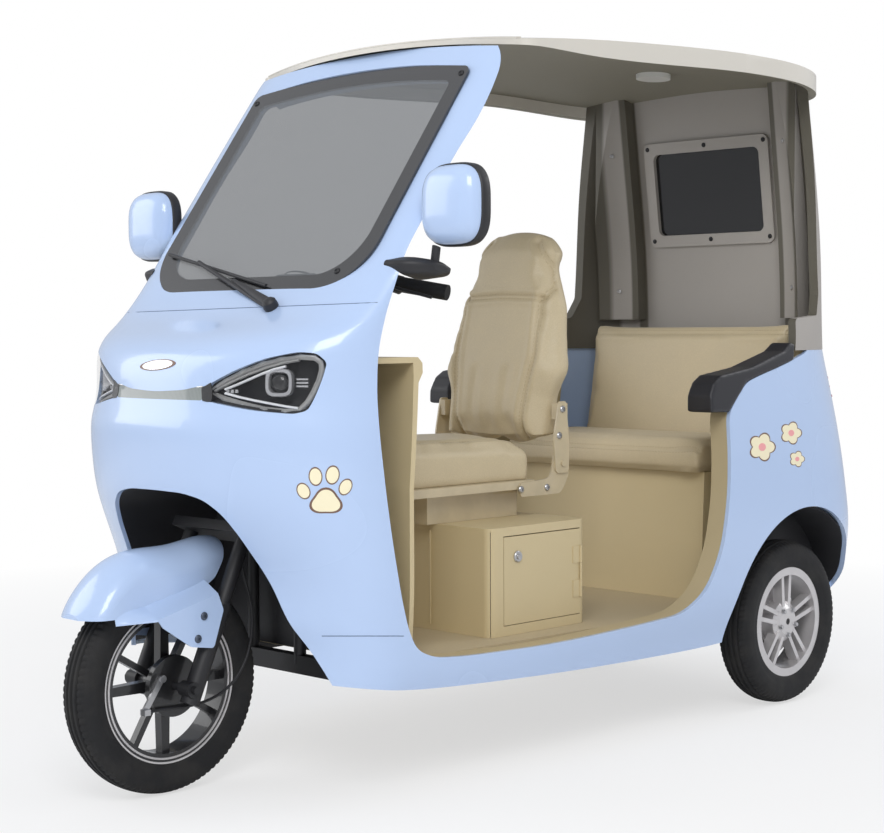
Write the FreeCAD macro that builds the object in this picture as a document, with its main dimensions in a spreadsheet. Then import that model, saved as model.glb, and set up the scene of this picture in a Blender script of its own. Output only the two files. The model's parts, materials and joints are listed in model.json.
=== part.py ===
# Three wheeled electric passenger rickshaw, in millimetres.
# Front faces -Y, the vehicle's left is +X, +Z is up, and it stands on Z = 0.
# Every place below is measured from the front axle, and each sub-part's Placement
# then moves it so that the origin is under the middle of the whole vehicle.
import FreeCAD
import Part
import Sketcher
import functools
import math
import os
from types import SimpleNamespace
from FreeCAD import Placement, Rotation, Vector

# Driving sizes, kept in the spreadsheet
SIZES = (
    # Layout
    ("Wheelbase", 1660), ("TailOverhang", 346), ("NoseReach", 26), ("NoseDepth", 300),
    ("FenderReach", 222), ("FrontWidth", 874), ("RearWidth", 974), ("TailLean", 78),
    ("CowlHeight", 1050), ("HeaderHeight", 1600), ("WaistY", 1420), ("WaistHeight", 905),
    ("BodyBottom", 190), ("SkinThickness", 10), ("WallThickness", 58), ("FitGap", 0.3),
    ("Overrun", 40), ("SeamHeight", 355), ("HoodSeamHeight", 1010),
    # Doorway and front arch
    ("DoorStart", 218), ("DoorLength", 1112), ("SillHeight", 268), ("DoorHeight", 1292),
    ("ArchHeight", 632), ("ArchWidth", 700), ("ArchDepth", 350), ("LinerThickness", 4),
    ("RearArchRadius", 300), ("RearArchInner", 326),
    # Windscreen and its frame
    ("GlassRise", 500), ("GlassRun", 359), ("GlassWidth", 716), ("GlassThickness", 5),
    ("BorderWidth", 40), ("PillarThickness", 45), ("GlassProud", 3),
    # Roof and rear shell
    ("RoofWidth", 900), ("RoofFront", 590), ("RoofLength", 1318), ("RoofCrown", 32),
    ("RoofHeight", 1660), ("RoofDrop", 70), ("RoofSkin", 14), ("RoofRim", 16),
    ("RoofEdge", 45), ("RoofLip", 14), ("StripDepth", 46), ("StripThickness", 3),
    ("ShellThickness", 22), ("ShellPost", 30), ("ShellEar", 80), ("ShellFront", 1800),
    ("WindowWidth", 424), ("WindowHeight", 294), ("WindowMiddle", 1341),
    ("WindowBar", 32), ("WindowLip", 8), ("WindowCorner", 22),
    # Front wheel
    ("FrontTyreRadius", 228), ("FrontTyreWidth", 80), ("FrontRimRadius", 165),
    ("FrontRimDepth", 22), ("FrontRimWidth", 56), ("FrontHubRadius", 42), ("AxleRadius", 8),
    ("FrontSpokeWidth", 18), ("FrontSpokeDepth", 22), ("BrakePlateRadius", 64),
    ("BrakePlateDepth", 14), ("RunningGap", 2), ("ForkHalfSpread", 90), ("CableRadius", 3),
    # Rear wheels
    ("RearTyreRadius", 209), ("RearTyreWidth", 90), ("RearRimRadius", 140),
    ("RearRimDepth", 20), ("RearRimWidth", 70), ("RearHubRadius", 34), ("RearTrack", 780),
    ("RearSpokeWidth", 11), ("RearSpokeGap", 12), ("RearSpokeDepth", 14),
    ("AxleTubeRadius", 28), ("MotorRadius", 82), ("MotorLength", 190),
    ("DiscRadius", 90), ("DiscThickness", 4),
    # Steering
    ("Rake", 24), ("ForkOffset", 30), ("ForkTubeRadius", 16), ("CrownReach", 346),
    ("CrownThickness", 22), ("HeadTubeLength", 150), ("HeadTubeRadius", 26),
    ("StemRadius", 15), ("StemReach", 870), ("BarRadius", 11), ("GripRadius", 17),
    ("GripLength", 120), ("FenderHalfWidth", 70), ("FenderThickness", 3),
    ("DashTop", 905), ("DashLip", 400), ("DashThickness", 12), ("StemHole", 34),
    # Cabin
    ("FloorTop", 276), ("FloorThickness", 18), ("FloorFront", 352), ("BenchFront", 1430),
    ("BenchTop", 600), ("BenchHalfWidth", 318), ("CushionDepth", 78), ("BenchLip", 48),
    ("BackrestTop", 988), ("BackrestFoot", 1722), ("BackrestHead", 1782),
    ("BackrestThickness", 66), ("BackrestHalfWidth", 350),
    ("PedestalWidth", 640), ("PedestalFront", 660), ("PedestalRear", 985),
    ("PedestalTop", 520), ("PedestalWall", 6), ("PedestalCorner", 22),
    ("StoreFront", 704), ("StoreRear", 962), ("StoreBottom", 300), ("StoreTop", 498),
    ("StoreThickness", 8), ("HingeRadius", 5),
    ("SeatWidth", 380), ("SeatFront", 446), ("SeatRear", 975), ("SeatBottom", 606),
    ("SeatThickness", 92), ("SeatFillet", 28), ("SeatPanDrop", 20), ("RailHeight", 22),
    ("SeatPivotY", 1037), ("SeatPivotZ", 640), ("BackFoot", 720), ("BackTop", 1206),
    ("BackWidth", 360), ("HeadWidth", 236), ("BackDepth", 96), ("BackLean", 12),
    ("BracketThickness", 5), ("BracketGap", 2),
    # Chassis
    ("RailSpread", 440), ("RailWidth", 26), ("ChassisRailHeight", 40),
    ("RailKick", 110), ("BatteryLength", 270), ("BatteryWidth", 560), ("BatteryHeight", 190),
    # Fittings
    ("MirrorX", 512), ("MirrorY", 356), ("MirrorZ", 1209), ("MirrorWidth", 160),
    ("MirrorHeight", 165), ("MirrorDepth", 62), ("ArmRadius", 9), ("MirrorGlassDepth", 4),
    ("ArmrestWidth", 84), ("WiperRadius", 5), ("WiperCap", 18), ("LensDepth", 10),
    ("BowlDepth", 55), ("BowlWall", 6),
    ("BarLampHalf", 150), ("BarLampHeight", 22), ("DomeRadius", 46), ("DomeDepth", 12),
)


class Size:
    """A number that also knows the spreadsheet formula it comes from."""

    def __init__(self, value, formula):
        self.value = float(value)
        self.formula = formula

    def __float__(self):
        return self.value

    def _with(self, other, sign, value, swapped=False):
        text = other.formula if isinstance(other, Size) else repr(float(other))
        pair = (text, self.formula) if swapped else (self.formula, text)
        return Size(value, f"({pair[0]} {sign} {pair[1]})")

    def __add__(self, other):
        return self._with(other, "+", self.value + float(other))

    def __radd__(self, other):
        return self._with(other, "+", float(other) + self.value, True)

    def __sub__(self, other):
        return self._with(other, "-", self.value - float(other))

    def __rsub__(self, other):
        return self._with(other, "-", float(other) - self.value, True)

    def __mul__(self, other):
        return self._with(other, "*", self.value * float(other))

    def __rmul__(self, other):
        return self._with(other, "*", float(other) * self.value, True)

    def __truediv__(self, other):
        return self._with(other, "/", self.value / float(other))

    def __rtruediv__(self, other):
        return self._with(other, "/", float(other) / self.value, True)

    def __neg__(self):
        return Size(-self.value, f"(-1 * {self.formula})")

    def __lt__(self, other):
        return self.value < float(other)

    def __gt__(self, other):
        return self.value > float(other)


doc = FreeCAD.newDocument("Rickshaw")


def make_sheet():
    """Put the driving sizes in a spreadsheet and return them by name."""
    sheet = doc.addObject("Spreadsheet::Sheet", "Sizes")
    named = {}
    for row, (name, value) in enumerate(SIZES, start=1):
        sheet.set(f"A{row}", name)
        sheet.set(f"B{row}", str(value))
        sheet.setAlias(f"B{row}", name)
        named[name] = Size(value, f"Sizes.{name}")
    doc.recompute()
    return SimpleNamespace(**named)


sz = make_sheet()
ZERO = Size(0, "0")
RAKE = math.radians(float(sz.Rake))
REAR_AXLE = sz.Wheelbase
RAIL_TOP = sz.FloorTop - sz.FloorThickness - sz.FitGap
TAIL = sz.Wheelbase + sz.TailOverhang
ORIGIN_Y = (TAIL - sz.FrontTyreRadius) / 2

# Places on the raked steering axis: forward of the axis lies the axle
AXIS_START = Vector(0, sz.ForkOffset * math.cos(RAKE), sz.FrontTyreRadius - sz.ForkOffset * math.sin(RAKE))
AXIS_RUN = Vector(0, math.sin(RAKE), math.cos(RAKE))
AXIS_BACK = Vector(0, math.cos(RAKE), -math.sin(RAKE))

# Body levels as shares: height of CowlHeight, nose setback of NoseDepth, half widths
# of FrontWidth and RearWidth, tail setback of TailLean, the two corner exponents,
# and where the nose curve meets the straight side, again of NoseDepth
LEVEL_SHARES = (
    (0.181, 0.470, 0.927, 0.883, 0.46, 2.80, 4.6, 1.153),
    (0.238, 0.453, 0.973, 0.934, 0.14, 2.60, 5.0, 1.153),
    (0.333, 0.403, 0.991, 0.982, 0.01, 2.50, 5.2, 1.120),
    (0.429, 0.327, 1.000, 0.998, 0.00, 2.40, 5.2, 1.053),
    (0.476, 0.247, 1.000, 1.000, 0.01, 2.35, 5.0, 1.037),
    (0.524, 0.153, 1.000, 1.000, 0.06, 2.30, 4.8, 1.020),
    (0.600, 0.040, 1.000, 0.996, 0.14, 2.25, 4.5, 0.987),
    (0.686, 0.007, 0.998, 0.986, 0.27, 2.25, 4.2, 0.953),
    (0.762, 0.013, 0.993, 0.973, 0.44, 2.20, 4.0, 0.953),
    (0.805, 0.060, 0.989, 0.965, 0.56, 2.20, 3.9, 0.953),
    (0.850, 0.073, 0.984, 0.957, 0.69, 2.30, 3.8, 0.953),
    (0.886, 0.220, 0.982, 0.949, 0.78, 2.50, 3.8, 0.953),
    (0.924, 0.420, 0.979, 0.943, 0.87, 2.90, 3.8, 0.960),
    (0.962, 0.620, 0.979, 0.936, 0.95, 3.40, 3.8, 1.003),
    (1.000, 0.827, 0.981, 0.932, 1.00, 4.00, 3.8, 1.153),
)
FRAME_SHARES = (0.10, 0.30, 0.55, 0.80, 1.0)
FRAME_EXPONENT = 4.6
FRAME_WIDTH_SHARES = (0.989, 1.0, 1.0, 0.993, 0.984)
FRAME_CORNER_SHARE = 0.36

# The doorway's edge, y as a share of DoorLength and z of DoorHeight
DOOR_SHARES = (
    (0.3615, 1.000), (0.2887, 0.901), (0.2014, 0.807), (0.1358, 0.7252), (0.0836, 0.661),
    (0.0513, 0.6099), (0.0279, 0.5673), (0.0054, 0.5062), (0.0, 0.4373), (0.0036, 0.3676),
    (0.0153, 0.2895), (0.0342, 0.1943), (0.0540, 0.1146), (0.0728, 0.065), (0.0960, 0.030),
    (0.1450, 0.013), (0.2310, 0.0062), (0.4730, 0.0), (0.7239, 0.0085), (0.8597, 0.0163),
    (0.9299, 0.0526), (0.9721, 0.1238), (0.9937, 0.216), (1.0, 0.291), (1.0, 0.3785),
)
# The body's top edge under the armrest, as shares of the same two sizes
HAUNCH_SHARES = (
    (1.040, 0.412), (1.072, 0.435), (1.121, 0.4466), (1.220, 0.466), (1.261, 0.4752),
    (1.350, 0.4952),
)
# The front arch seen from the front: half width and height as shares
ARCH_SHARES = (
    (1.09, 0.20), (1.0, 0.380), (0.870, 0.502), (0.746, 0.611), (0.649, 0.775),
    (0.594, 0.870), (0.529, 0.938), (0.420, 0.982), (0.260, 1.000), (0.0, 1.003),
)
# The lower edge of the body seen from the side: y as a share of Wheelbase, z of SillHeight
BOTTOM_SHARES = (
    (-0.10, 1.02), (0.061, 0.952), (0.195, 0.832), (0.301, 0.784), (0.455, 0.739),
    (0.624, 0.716), (0.808, 0.713), (1.02, 0.80), (1.14, 0.960), (1.30, 1.02),
)
# Head lamp outline seen from the front: x of FrontWidth / 2 and z of CowlHeight
LAMP_SHARES = (
    (0.345, 0.7825), (0.362, 0.812), (0.508, 0.841), (0.654, 0.864), (0.783, 0.8755),
    (0.850, 0.873), (0.884, 0.856), (0.872, 0.829), (0.847, 0.790), (0.828, 0.765),
    (0.780, 0.759), (0.613, 0.765), (0.487, 0.773),
)
# How far the head lamp housing's mouth reaches towards the lamp's outline
BOWL_MOUTH_SHARE = 0.9
# Tail lamp outline seen from behind
TAIL_LAMP_SHARES = (
    (0.80, 0.770), (0.88, 0.815), (1.10, 0.830), (1.10, 0.740), (0.94, 0.722), (0.84, 0.742),
)
TAIL_LAMP_DEPTH_SHARE = 0.4


def solid_of(shape):
    """The largest solid of a boolean's result."""
    return max(shape.Solids, key=lambda piece: piece.Volume)


def mirrored(shape):
    """A copy on the other side of the vehicle's middle plane."""
    return shape.mirror(Vector(0, 0, 0), Vector(1, 0, 0))


def box(low, high):
    """A block between two corners."""
    run = Vector(*high) - Vector(*low)
    return Part.makeBox(run.x, run.y, run.z, Vector(*low))


def corner_arc(first, corner, last):
    """The arc that rounds a corner between two points at one distance from it."""
    bisector = (first + last) / 2 - corner
    half = (last - first).Length / 2
    reach = (corner - first).Length
    radius = half * reach / bisector.Length
    middle = corner + bisector.normalize() * (math.hypot(radius, reach) - radius)
    return Part.Arc(first, middle, last).toShape()


STRAIGHT = math.radians(0.6)


def outline(points, ease=0.0):
    """A closed wire through points, its corners eased by that share of the shorter run."""
    count = len(points)
    starts, ends, arcs = [], [], []
    for index, corner in enumerate(points):
        into = corner - points[index - 1]
        out = points[(index + 1) % count] - corner
        bent = STRAIGHT < into.getAngle(out) < math.pi - STRAIGHT
        reach = ease * min(into.Length, out.Length) if bent else 0.0
        starts.append(corner - into.normalize() * reach)
        ends.append(corner + out.normalize() * reach)
        arcs.append(corner_arc(starts[-1], corner, ends[-1]) if reach > 0 else None)
    edges = []
    for index in range(count):
        if arcs[index]:
            edges.append(arcs[index])
        gap = starts[(index + 1) % count] - ends[index]
        if gap.Length > 1e-6:
            edges.append(Part.makeLine(ends[index], starts[(index + 1) % count]))
    return Part.Wire(edges)


VIEWS = {
    "side": lambda a, b, c: Vector(c, a, b),
    "front": lambda a, b, c: Vector(a, c, b),
    "plan": lambda a, b, c: Vector(a, b, c),
}


def prism(view, corners, start, end, ease=0.0):
    """Extrude an outline drawn in a view, from one depth to another."""
    place = VIEWS[view]
    wire = outline([place(float(a), float(b), float(start)) for a, b in corners], ease)
    return Part.Face(wire).extrude(place(0.0, 0.0, float(end) - float(start)))


def tube(points, radius, ease=0.45):
    """A round bar along straight runs joined by arcs."""
    points = [Vector(*point) for point in points]
    edges = []
    last = points[0]
    for before, corner, after in zip(points, points[1:], points[2:]):
        into, out = corner - before, after - corner
        reach = ease * min(into.Length, out.Length)
        first = corner - into.normalize() * reach
        edges.append(Part.makeLine(last, first))
        last = corner + out.normalize() * reach
        edges.append(corner_arc(first, corner, last))
    edges.append(Part.makeLine(last, points[-1]))
    ring = Part.Wire([Part.makeCircle(float(radius), points[0], points[1] - points[0])])
    return Part.Wire(edges).makePipeShell([ring], True, True)


def rod(start, end, radius):
    """A straight round bar between two points."""
    run = Vector(*end) - Vector(*start)
    return Part.makeCylinder(float(radius), run.Length, Vector(*start), run)


def place_of(thing):
    """Bind a sub-part's Placement so that the vehicle stands over the origin."""
    thing.setExpression("Placement.Base.y", (-ORIGIN_Y).formula)


def feature(label, shape):
    """Keep a finished shape, drawn from the front axle, as a sub-part."""
    thing = doc.addObject("Part::Feature", label)
    thing.Label = label
    thing.Shape = Part.makeCompound(shape.Solids)
    thing.Placement = Placement()
    place_of(thing)
    return thing


def body_at(label, x_place, y_place, z_place):
    """A PartDesign body whose own origin stands at a named place."""
    body = doc.addObject("PartDesign::Body", label)
    body.Label = label
    body.setExpression("Placement.Base.x", x_place.formula)
    body.setExpression("Placement.Base.y", (y_place - ORIGIN_Y).formula)
    body.setExpression("Placement.Base.z", z_place.formula)
    return body


def origin_part(body, role):
    """One of a body's own planes or axes, by its role."""
    return next(item for item in body.Origin.OriginFeatures if item.Role == role)


def sketch_on(body, role, name):
    """A sketch on one of a body's own planes."""
    sketch = body.newObject("Sketcher::SketchObject", name)
    sketch.AttachmentSupport = [(origin_part(body, role), "")]
    sketch.MapMode = "FlatFace"
    return sketch


def draw_outline(sketch, corners):
    """Draw a closed outline whose corners are bound to the spreadsheet."""
    first = sketch.GeometryCount
    count = len(corners)
    spots = [Vector(float(a), float(b), 0) for a, b in corners]
    for index in range(count):
        sketch.addGeometry(Part.LineSegment(spots[index], spots[(index + 1) % count]))
    for index in range(count):
        after = first + (index + 1) % count
        sketch.addConstraint(Sketcher.Constraint("Coincident", first + index, 2, after, 1))
    for index, (a_size, b_size) in enumerate(corners):
        for kind, length in (("DistanceX", a_size), ("DistanceY", b_size)):
            number = sketch.addConstraint(
                Sketcher.Constraint(kind, -1, 1, first + index, 1, float(length)))
            if isinstance(length, Size) and length is not ZERO:
                sketch.setExpression(f"Constraints[{number}]", length.formula)


def pad(body, sketch, length, both_ways=False, reverse=False):
    """Pad a sketch by a bound length."""
    added = body.newObject("PartDesign::Pad", f"{body.Name}_pad")
    added.Profile = sketch
    added.setExpression("Length", length.formula)
    added.Midplane = both_ways
    added.Reversed = reverse
    return added


def pocket(body, sketch, length, both_ways=False, reverse=False):
    """Cut a sketch into a body by a bound length."""
    cut = body.newObject("PartDesign::Pocket", f"{body.Name}_pocket")
    cut.Profile = sketch
    cut.setExpression("Length", length.formula)
    cut.Midplane = both_ways
    cut.Reversed = reverse
    return cut


def revolve(body, sketch):
    """Turn a sketch once round the body's X axis."""
    turned = body.newObject("PartDesign::Revolution", f"{body.Name}_turned")
    turned.Profile = sketch
    turned.ReferenceAxis = (origin_part(body, "X_Axis"), [""])
    turned.Angle = 360
    return turned


def repeat_round(body, features, count):
    """Repeat features round the body's X axis."""
    pattern = body.newObject("PartDesign::PolarPattern", f"{body.Name}_pattern")
    pattern.Originals = features
    pattern.Axis = (origin_part(body, "X_Axis"), [""])
    pattern.Angle = 360
    pattern.Occurrences = count
    body.Tip = pattern
    return pattern


def fillet_edges(body, base, radius, wanted):
    """Round those edges of a feature that a test picks out."""
    doc.recompute()
    names = [f"Edge{number}" for number, edge in enumerate(base.Shape.Edges, start=1) if wanted(edge)]
    rounded = body.newObject("PartDesign::Fillet", f"{body.Name}_fillet")
    rounded.Base = (base, names)
    rounded.setExpression("Radius", radius.formula)
    return rounded


def runs_along(axis):
    """A test for straight edges that run along an axis."""
    def test(edge):
        run = edge.Vertexes[-1].Point - edge.Vertexes[0].Point
        return run.Length > 0 and abs(run.normalize().dot(axis)) > 0.999
    return test


# The body's outer form

def level_values():
    """Each level of the body as numbers: height, nose, widths, tail, exponents, shoulder."""
    levels = []
    for height, nose, front, rear, tail, bow, stern, shoulder in LEVEL_SHARES:
        levels.append((
            float(sz.CowlHeight) * height,
            float(sz.NoseDepth) * nose - float(sz.NoseReach),
            float(sz.FrontWidth) / 2 * front,
            float(sz.RearWidth) / 2 * rear,
            float(TAIL) - float(sz.TailLean) * tail,
            bow,
            stern,
            float(sz.NoseDepth) * shoulder - float(sz.NoseReach),
        ))
    height, nose, _, rear, tail, _, stern, _ = levels[-1]
    rise = float(sz.HeaderHeight) - height
    slope = float(sz.GlassRun) / float(sz.GlassRise)
    for share, width_share in zip(FRAME_SHARES, FRAME_WIDTH_SHARES):
        start = nose + rise * share * slope
        levels.append((
            height + rise * share, start, float(sz.FrontWidth) / 2 * width_share, rear, tail,
            FRAME_EXPONENT, stern, start + float(sz.NoseDepth) * FRAME_CORNER_SHARE,
        ))
    return levels


STEPS_NOSE = 12
STEPS_SIDE = 6
STEPS_TAIL = 11
LEVEL_COUNT = 24


def smooth_between(places, values, place):
    """A value between table rows, on a curve that never swings past them."""
    if place <= places[0]:
        return values[0]
    if place >= places[-1]:
        return values[-1]
    slopes = [(values[row + 1] - values[row]) / (places[row + 1] - places[row])
              for row in range(len(places) - 1)]
    leans = [slopes[0]]
    for before, after in zip(slopes, slopes[1:]):
        leans.append(0.0 if before * after <= 0 else 2 * before * after / (before + after))
    leans.append(slopes[-1])
    row = max(index for index in range(len(places) - 1) if places[index] <= place)
    step = places[row + 1] - places[row]
    share = (place - places[row]) / step
    rest = 1 - share
    return (rest * rest * (1 + 2 * share) * values[row] + share * rest * rest * step * leans[row]
            + share * share * (3 - 2 * share) * values[row + 1]
            - share * share * rest * step * leans[row + 1])


def even_levels():
    """The body's levels at even heights, from below the sills to above the header."""
    table = level_values()
    heights = [level[0] for level in table]
    columns = [[level[column] for level in table] for column in range(1, len(table[0]))]
    low = heights[0] - float(sz.Overrun)
    step = (heights[-1] - low) / (LEVEL_COUNT - 1)
    levels = []
    for index in range(LEVEL_COUNT):
        height = low + step * index
        levels.append((height,) + tuple(smooth_between(heights, column, height) for column in columns))
    return levels


def ring_points(level, inset):
    """Points once round a level of the body, drawn in by an inset."""
    height, nose, front, rear, tail, bow, stern, shoulder = level
    nose, tail = nose + inset, tail - inset
    front, rear = front - inset, rear - inset
    waist = float(sz.WaistY)
    half = []
    for step in range(STEPS_NOSE + 1):
        turn = math.pi / 2 * step / STEPS_NOSE
        half.append((front * math.sin(turn) ** (2 / bow),
                     shoulder - (shoulder - nose) * max(math.cos(turn), 0.0) ** (2 / bow)))
    for step in range(1, STEPS_SIDE):
        share = step / STEPS_SIDE
        blend = share * share * (3 - 2 * share)
        half.append((front + (rear - front) * blend, shoulder + (waist - shoulder) * share))
    for step in range(STEPS_TAIL + 1):
        turn = math.pi / 2 * step / STEPS_TAIL
        half.append((rear * max(math.cos(turn), 0.0) ** (2 / stern),
                     waist + (tail - waist) * math.sin(turn) ** (2 / stern)))
    other = [(-x_place, y_place) for x_place, y_place in half[-2:0:-1]]
    return [Vector(x_place, y_place, height) for x_place, y_place in half + other]


def ring_parameters():
    """One set of spline parameters for every ring, from the run round a middle level."""
    points = ring_points(level_values()[4], 0.0)
    sums = [0.0]
    for index, point in enumerate(points):
        sums.append(sums[-1] + (points[(index + 1) % len(points)] - point).Length ** 0.7)
    return [value / sums[-1] for value in sums]


RING_PARAMETERS = ring_parameters()


@functools.cache
def hull_drawn_in(inset):
    """The body's outer form as one solid, drawn in by a number of millimetres."""
    wires = []
    for level in even_levels():
        curve = Part.BSplineCurve()
        curve.interpolate(Points=ring_points(level, inset), PeriodicFlag=True,
                          Parameters=RING_PARAMETERS)
        wires.append(Part.Wire([curve.toShape()]))
    return Part.makeLoft(wires, True, False)


def hull(inset):
    """The body's outer form as one solid, drawn in by a size."""
    return hull_drawn_in(float(inset))


OUTER = hull(0.0)
SKIN = OUTER.cut(hull(sz.SkinThickness))
WIDE = sz.RearWidth
HIGH = sz.HeaderHeight * 1.2
LONG = TAIL * 1.2


def door_points():
    """The side opening's outline: doorway edge, haunch, and up past the roof."""
    edge = [(sz.DoorStart + sz.DoorLength * a, sz.SillHeight + sz.DoorHeight * b)
            for a, b in DOOR_SHARES + HAUNCH_SHARES]
    last = edge[-1][0]
    return edge + [(last, HIGH), (edge[0][0] + sz.Overrun, HIGH)]


def door_cut(inner):
    """What the side openings take away on both sides, out from a half width."""
    left = prism("side", door_points(), inner, WIDE, 0.45)
    return left, mirrored(left)


def arch_outline(grow):
    """The front arch's outline seen from the front, grown by a wall."""
    half = sz.ArchWidth / 2
    right = [(half * a + grow, sz.ArchHeight * b + (grow if b > 0.9 else 0.0)) for a, b in ARCH_SHARES]
    left = [(-a, b) for a, b in right[-2::-1]]
    return right + left


def front_arch(grow, depth):
    """The tunnel that the front wheel turns in."""
    return prism("front", arch_outline(grow), -sz.FenderReach, depth, 0.42)


def rear_arch(radius, inner):
    """The two rear wheel openings, out from a half width."""
    centre = Vector(float(inner), float(REAR_AXLE), float(sz.RearTyreRadius))
    left = Part.makeCylinder(float(radius), float(WIDE), centre, Vector(1, 0, 0))
    below = box((float(inner), float(REAR_AXLE - radius), -float(sz.Overrun)),
                (float(WIDE + inner), float(REAR_AXLE + radius), float(sz.RearTyreRadius)))
    return left.fuse(below.common(Part.makeCylinder(
        float(radius * 1.04), float(WIDE), centre, Vector(1, 0, 0))))


def bottom_cut(rise=ZERO):
    """What lies below the body's lower edge."""
    edge = [(sz.Wheelbase * a, sz.SillHeight * b + rise) for a, b in BOTTOM_SHARES]
    points = edge + [(edge[-1][0], -sz.Overrun), (edge[0][0], -sz.Overrun)]
    return prism("side", points, -WIDE, WIDE, 0.40)


BOTTOM = bottom_cut()


def lamp_prism(shares, start, end):
    """A prism through the nose or tail in the outline of a lamp."""
    corners = [(sz.FrontWidth / 2 * a, sz.CowlHeight * b) for a, b in shares]
    return prism("front", corners, start, end, 0.35)


def tail_lamp_prism():
    """A prism through the tail's left corner in the outline of its lamp."""
    return lamp_prism(TAIL_LAMP_SHARES, TAIL - sz.TailOverhang * TAIL_LAMP_DEPTH_SHARE, LONG)


def bar_lamp_prism():
    """A prism through the nose in the outline of the light bar."""
    half = sz.BarLampHalf
    high = sz.CowlHeight * LAMP_SHARES[1][1]
    dip = sz.BarLampHeight
    low = sz.CowlHeight * LAMP_SHARES[0][1]
    corners = [(-half, low), (-half, high), (-half * 0.6, high - dip * 0.5), (0, high - dip * 0.7),
               (half * 0.6, high - dip * 0.5), (half, high), (half, low), (0, low)]
    return prism("front", corners, -sz.FenderReach, sz.NoseDepth / 2, 0.3)


def make_front_cowl():
    """The blue nose from the side seam up to the hood's seam."""
    keep = box((-float(WIDE), -float(sz.FenderReach), float(sz.SeamHeight)),
               (float(WIDE), float(sz.DoorStart + sz.DoorLength / 2), float(sz.HoodSeamHeight)))
    shape = SKIN.common(keep)
    cuts = [front_arch(ZERO, sz.ArchDepth), *door_cut(sz.DoorStart / 2), bar_lamp_prism()]
    lamp = lamp_prism(LAMP_SHARES, -sz.FenderReach, sz.DoorStart)
    cuts += [lamp, mirrored(lamp)]
    return feature("front_cowl", solid_of(shape.cut(cuts)))


def make_lamps():
    """Head lamps, the bar between them and the tail lamps, as thick lenses."""
    lens = hull(sz.FitGap)
    behind = hull(sz.LensDepth)
    left = solid_of(lens.common(lamp_prism(LAMP_SHARES, -sz.FenderReach, sz.DoorStart)).cut(behind))
    bar_half = Part.makeCompound([mirrored(left), left])
    feature("headlamps", bar_half)
    bar = solid_of(lens.common(bar_lamp_prism()).cut([behind, left, mirrored(left)]))
    feature("light_bar", bar)
    tail_left = solid_of(lens.common(tail_lamp_prism()).cut(behind))
    feature("tail_lamps", Part.makeCompound([mirrored(tail_left), tail_left]))
    bowl = solid_of(lamp_space().cut(lamp_cavity()))
    feature("lamp_housings", Part.makeCompound([mirrored(bowl), bowl]))


def lamp_space():
    """The block behind the left head lamp's lens that its housing fills."""
    block = hull(sz.LensDepth + sz.FitGap).common(lamp_prism(LAMP_SHARES, -sz.FenderReach, sz.DoorStart))
    return solid_of(block.cut(hull(sz.BowlDepth)))


def lamp_cavity():
    """The hollow of the left head lamp's housing, open towards the lens."""
    middle_a = sum(a for a, _ in LAMP_SHARES) / len(LAMP_SHARES)
    middle_b = sum(b for _, b in LAMP_SHARES) / len(LAMP_SHARES)
    shares = [(middle_a + (a - middle_a) * BOWL_MOUTH_SHARE, middle_b + (b - middle_b) * BOWL_MOUTH_SHARE)
              for a, b in LAMP_SHARES]
    return lamp_prism(shares, -sz.FenderReach, sz.DoorStart).cut(hull(sz.BowlDepth - sz.BowlWall))


def make_windscreen_frame():
    """The blue frame round the windscreen, from the hood's seam to the header."""
    keep = box((-float(WIDE), 0.0, float(sz.HoodSeamHeight)),
               (float(WIDE), float(sz.DoorStart + sz.DoorLength / 2), float(HIGH)))
    shape = OUTER.common(keep).cut(hull(sz.PillarThickness))
    shape = shape.cut([*door_cut(sz.DoorStart * 1.4), roof_space(sz.FitGap)])
    shape = shape.cut([glass_prism(ZERO, sz.GlassThickness + sz.GlassProud, True),
                       glass_prism(sz.BorderWidth / 2, sz.PillarThickness * 3)])
    return feature("windscreen_frame", solid_of(shape))


def glass_frame():
    """Origin, up and inward directions of the windscreen's plane."""
    up = Vector(0, float(sz.GlassRun), float(sz.GlassRise))
    level = level_values()[len(LEVEL_SHARES) - 1]
    low = Vector(0, level[1] - float(sz.GlassProud) / 2, level[0] - float(sz.GlassProud) * 2)
    inward = Vector(0, float(sz.GlassRise), -float(sz.GlassRun)).normalize()
    return low, up, inward


# The windscreen's outline: half width and rise along its plane, arched at the top
GLASS_SHARES = (
    (-1.0, 0.0), (-1.0, 0.961), (-0.75, 0.982), (-0.5, 0.998), (-0.25, 1.007), (0.0, 1.010),
    (0.25, 1.007), (0.5, 0.998), (0.75, 0.982), (1.0, 0.961), (1.0, 0.0),
)


def glass_prism(inset, depth, outward=False):
    """A plate parallel to the windscreen, drawn in from its edge by an inset."""
    low, up, inward = glass_frame()
    half = float(sz.GlassWidth) / 2 - float(inset)
    along = up.Length - 2 * float(inset)
    start = low + up.normalize() * float(inset)
    corner = Vector(1, 0, 0)
    points = []
    for side, rise in GLASS_SHARES:
        points.append(start + corner * (side * half) + up * (along * rise))
    wire = outline(points, 0.22)
    reach = inward * float(depth)
    face = Part.Face(wire)
    if outward:
        face.translate(-inward * float(sz.Overrun))
        reach = inward * (float(depth) + float(sz.Overrun))
    return face.extrude(reach)


def make_windscreen():
    """The clear pane and the black border that holds it."""
    gap = sz.FitGap
    plate = glass_prism(gap, sz.GlassThickness)
    hole = glass_prism(sz.BorderWidth, sz.GlassThickness * 3, True)
    feature("windscreen_border", plate.cut(hole))
    feature("windscreen_glass", glass_prism(sz.BorderWidth, sz.GlassThickness))


# Roof

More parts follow.
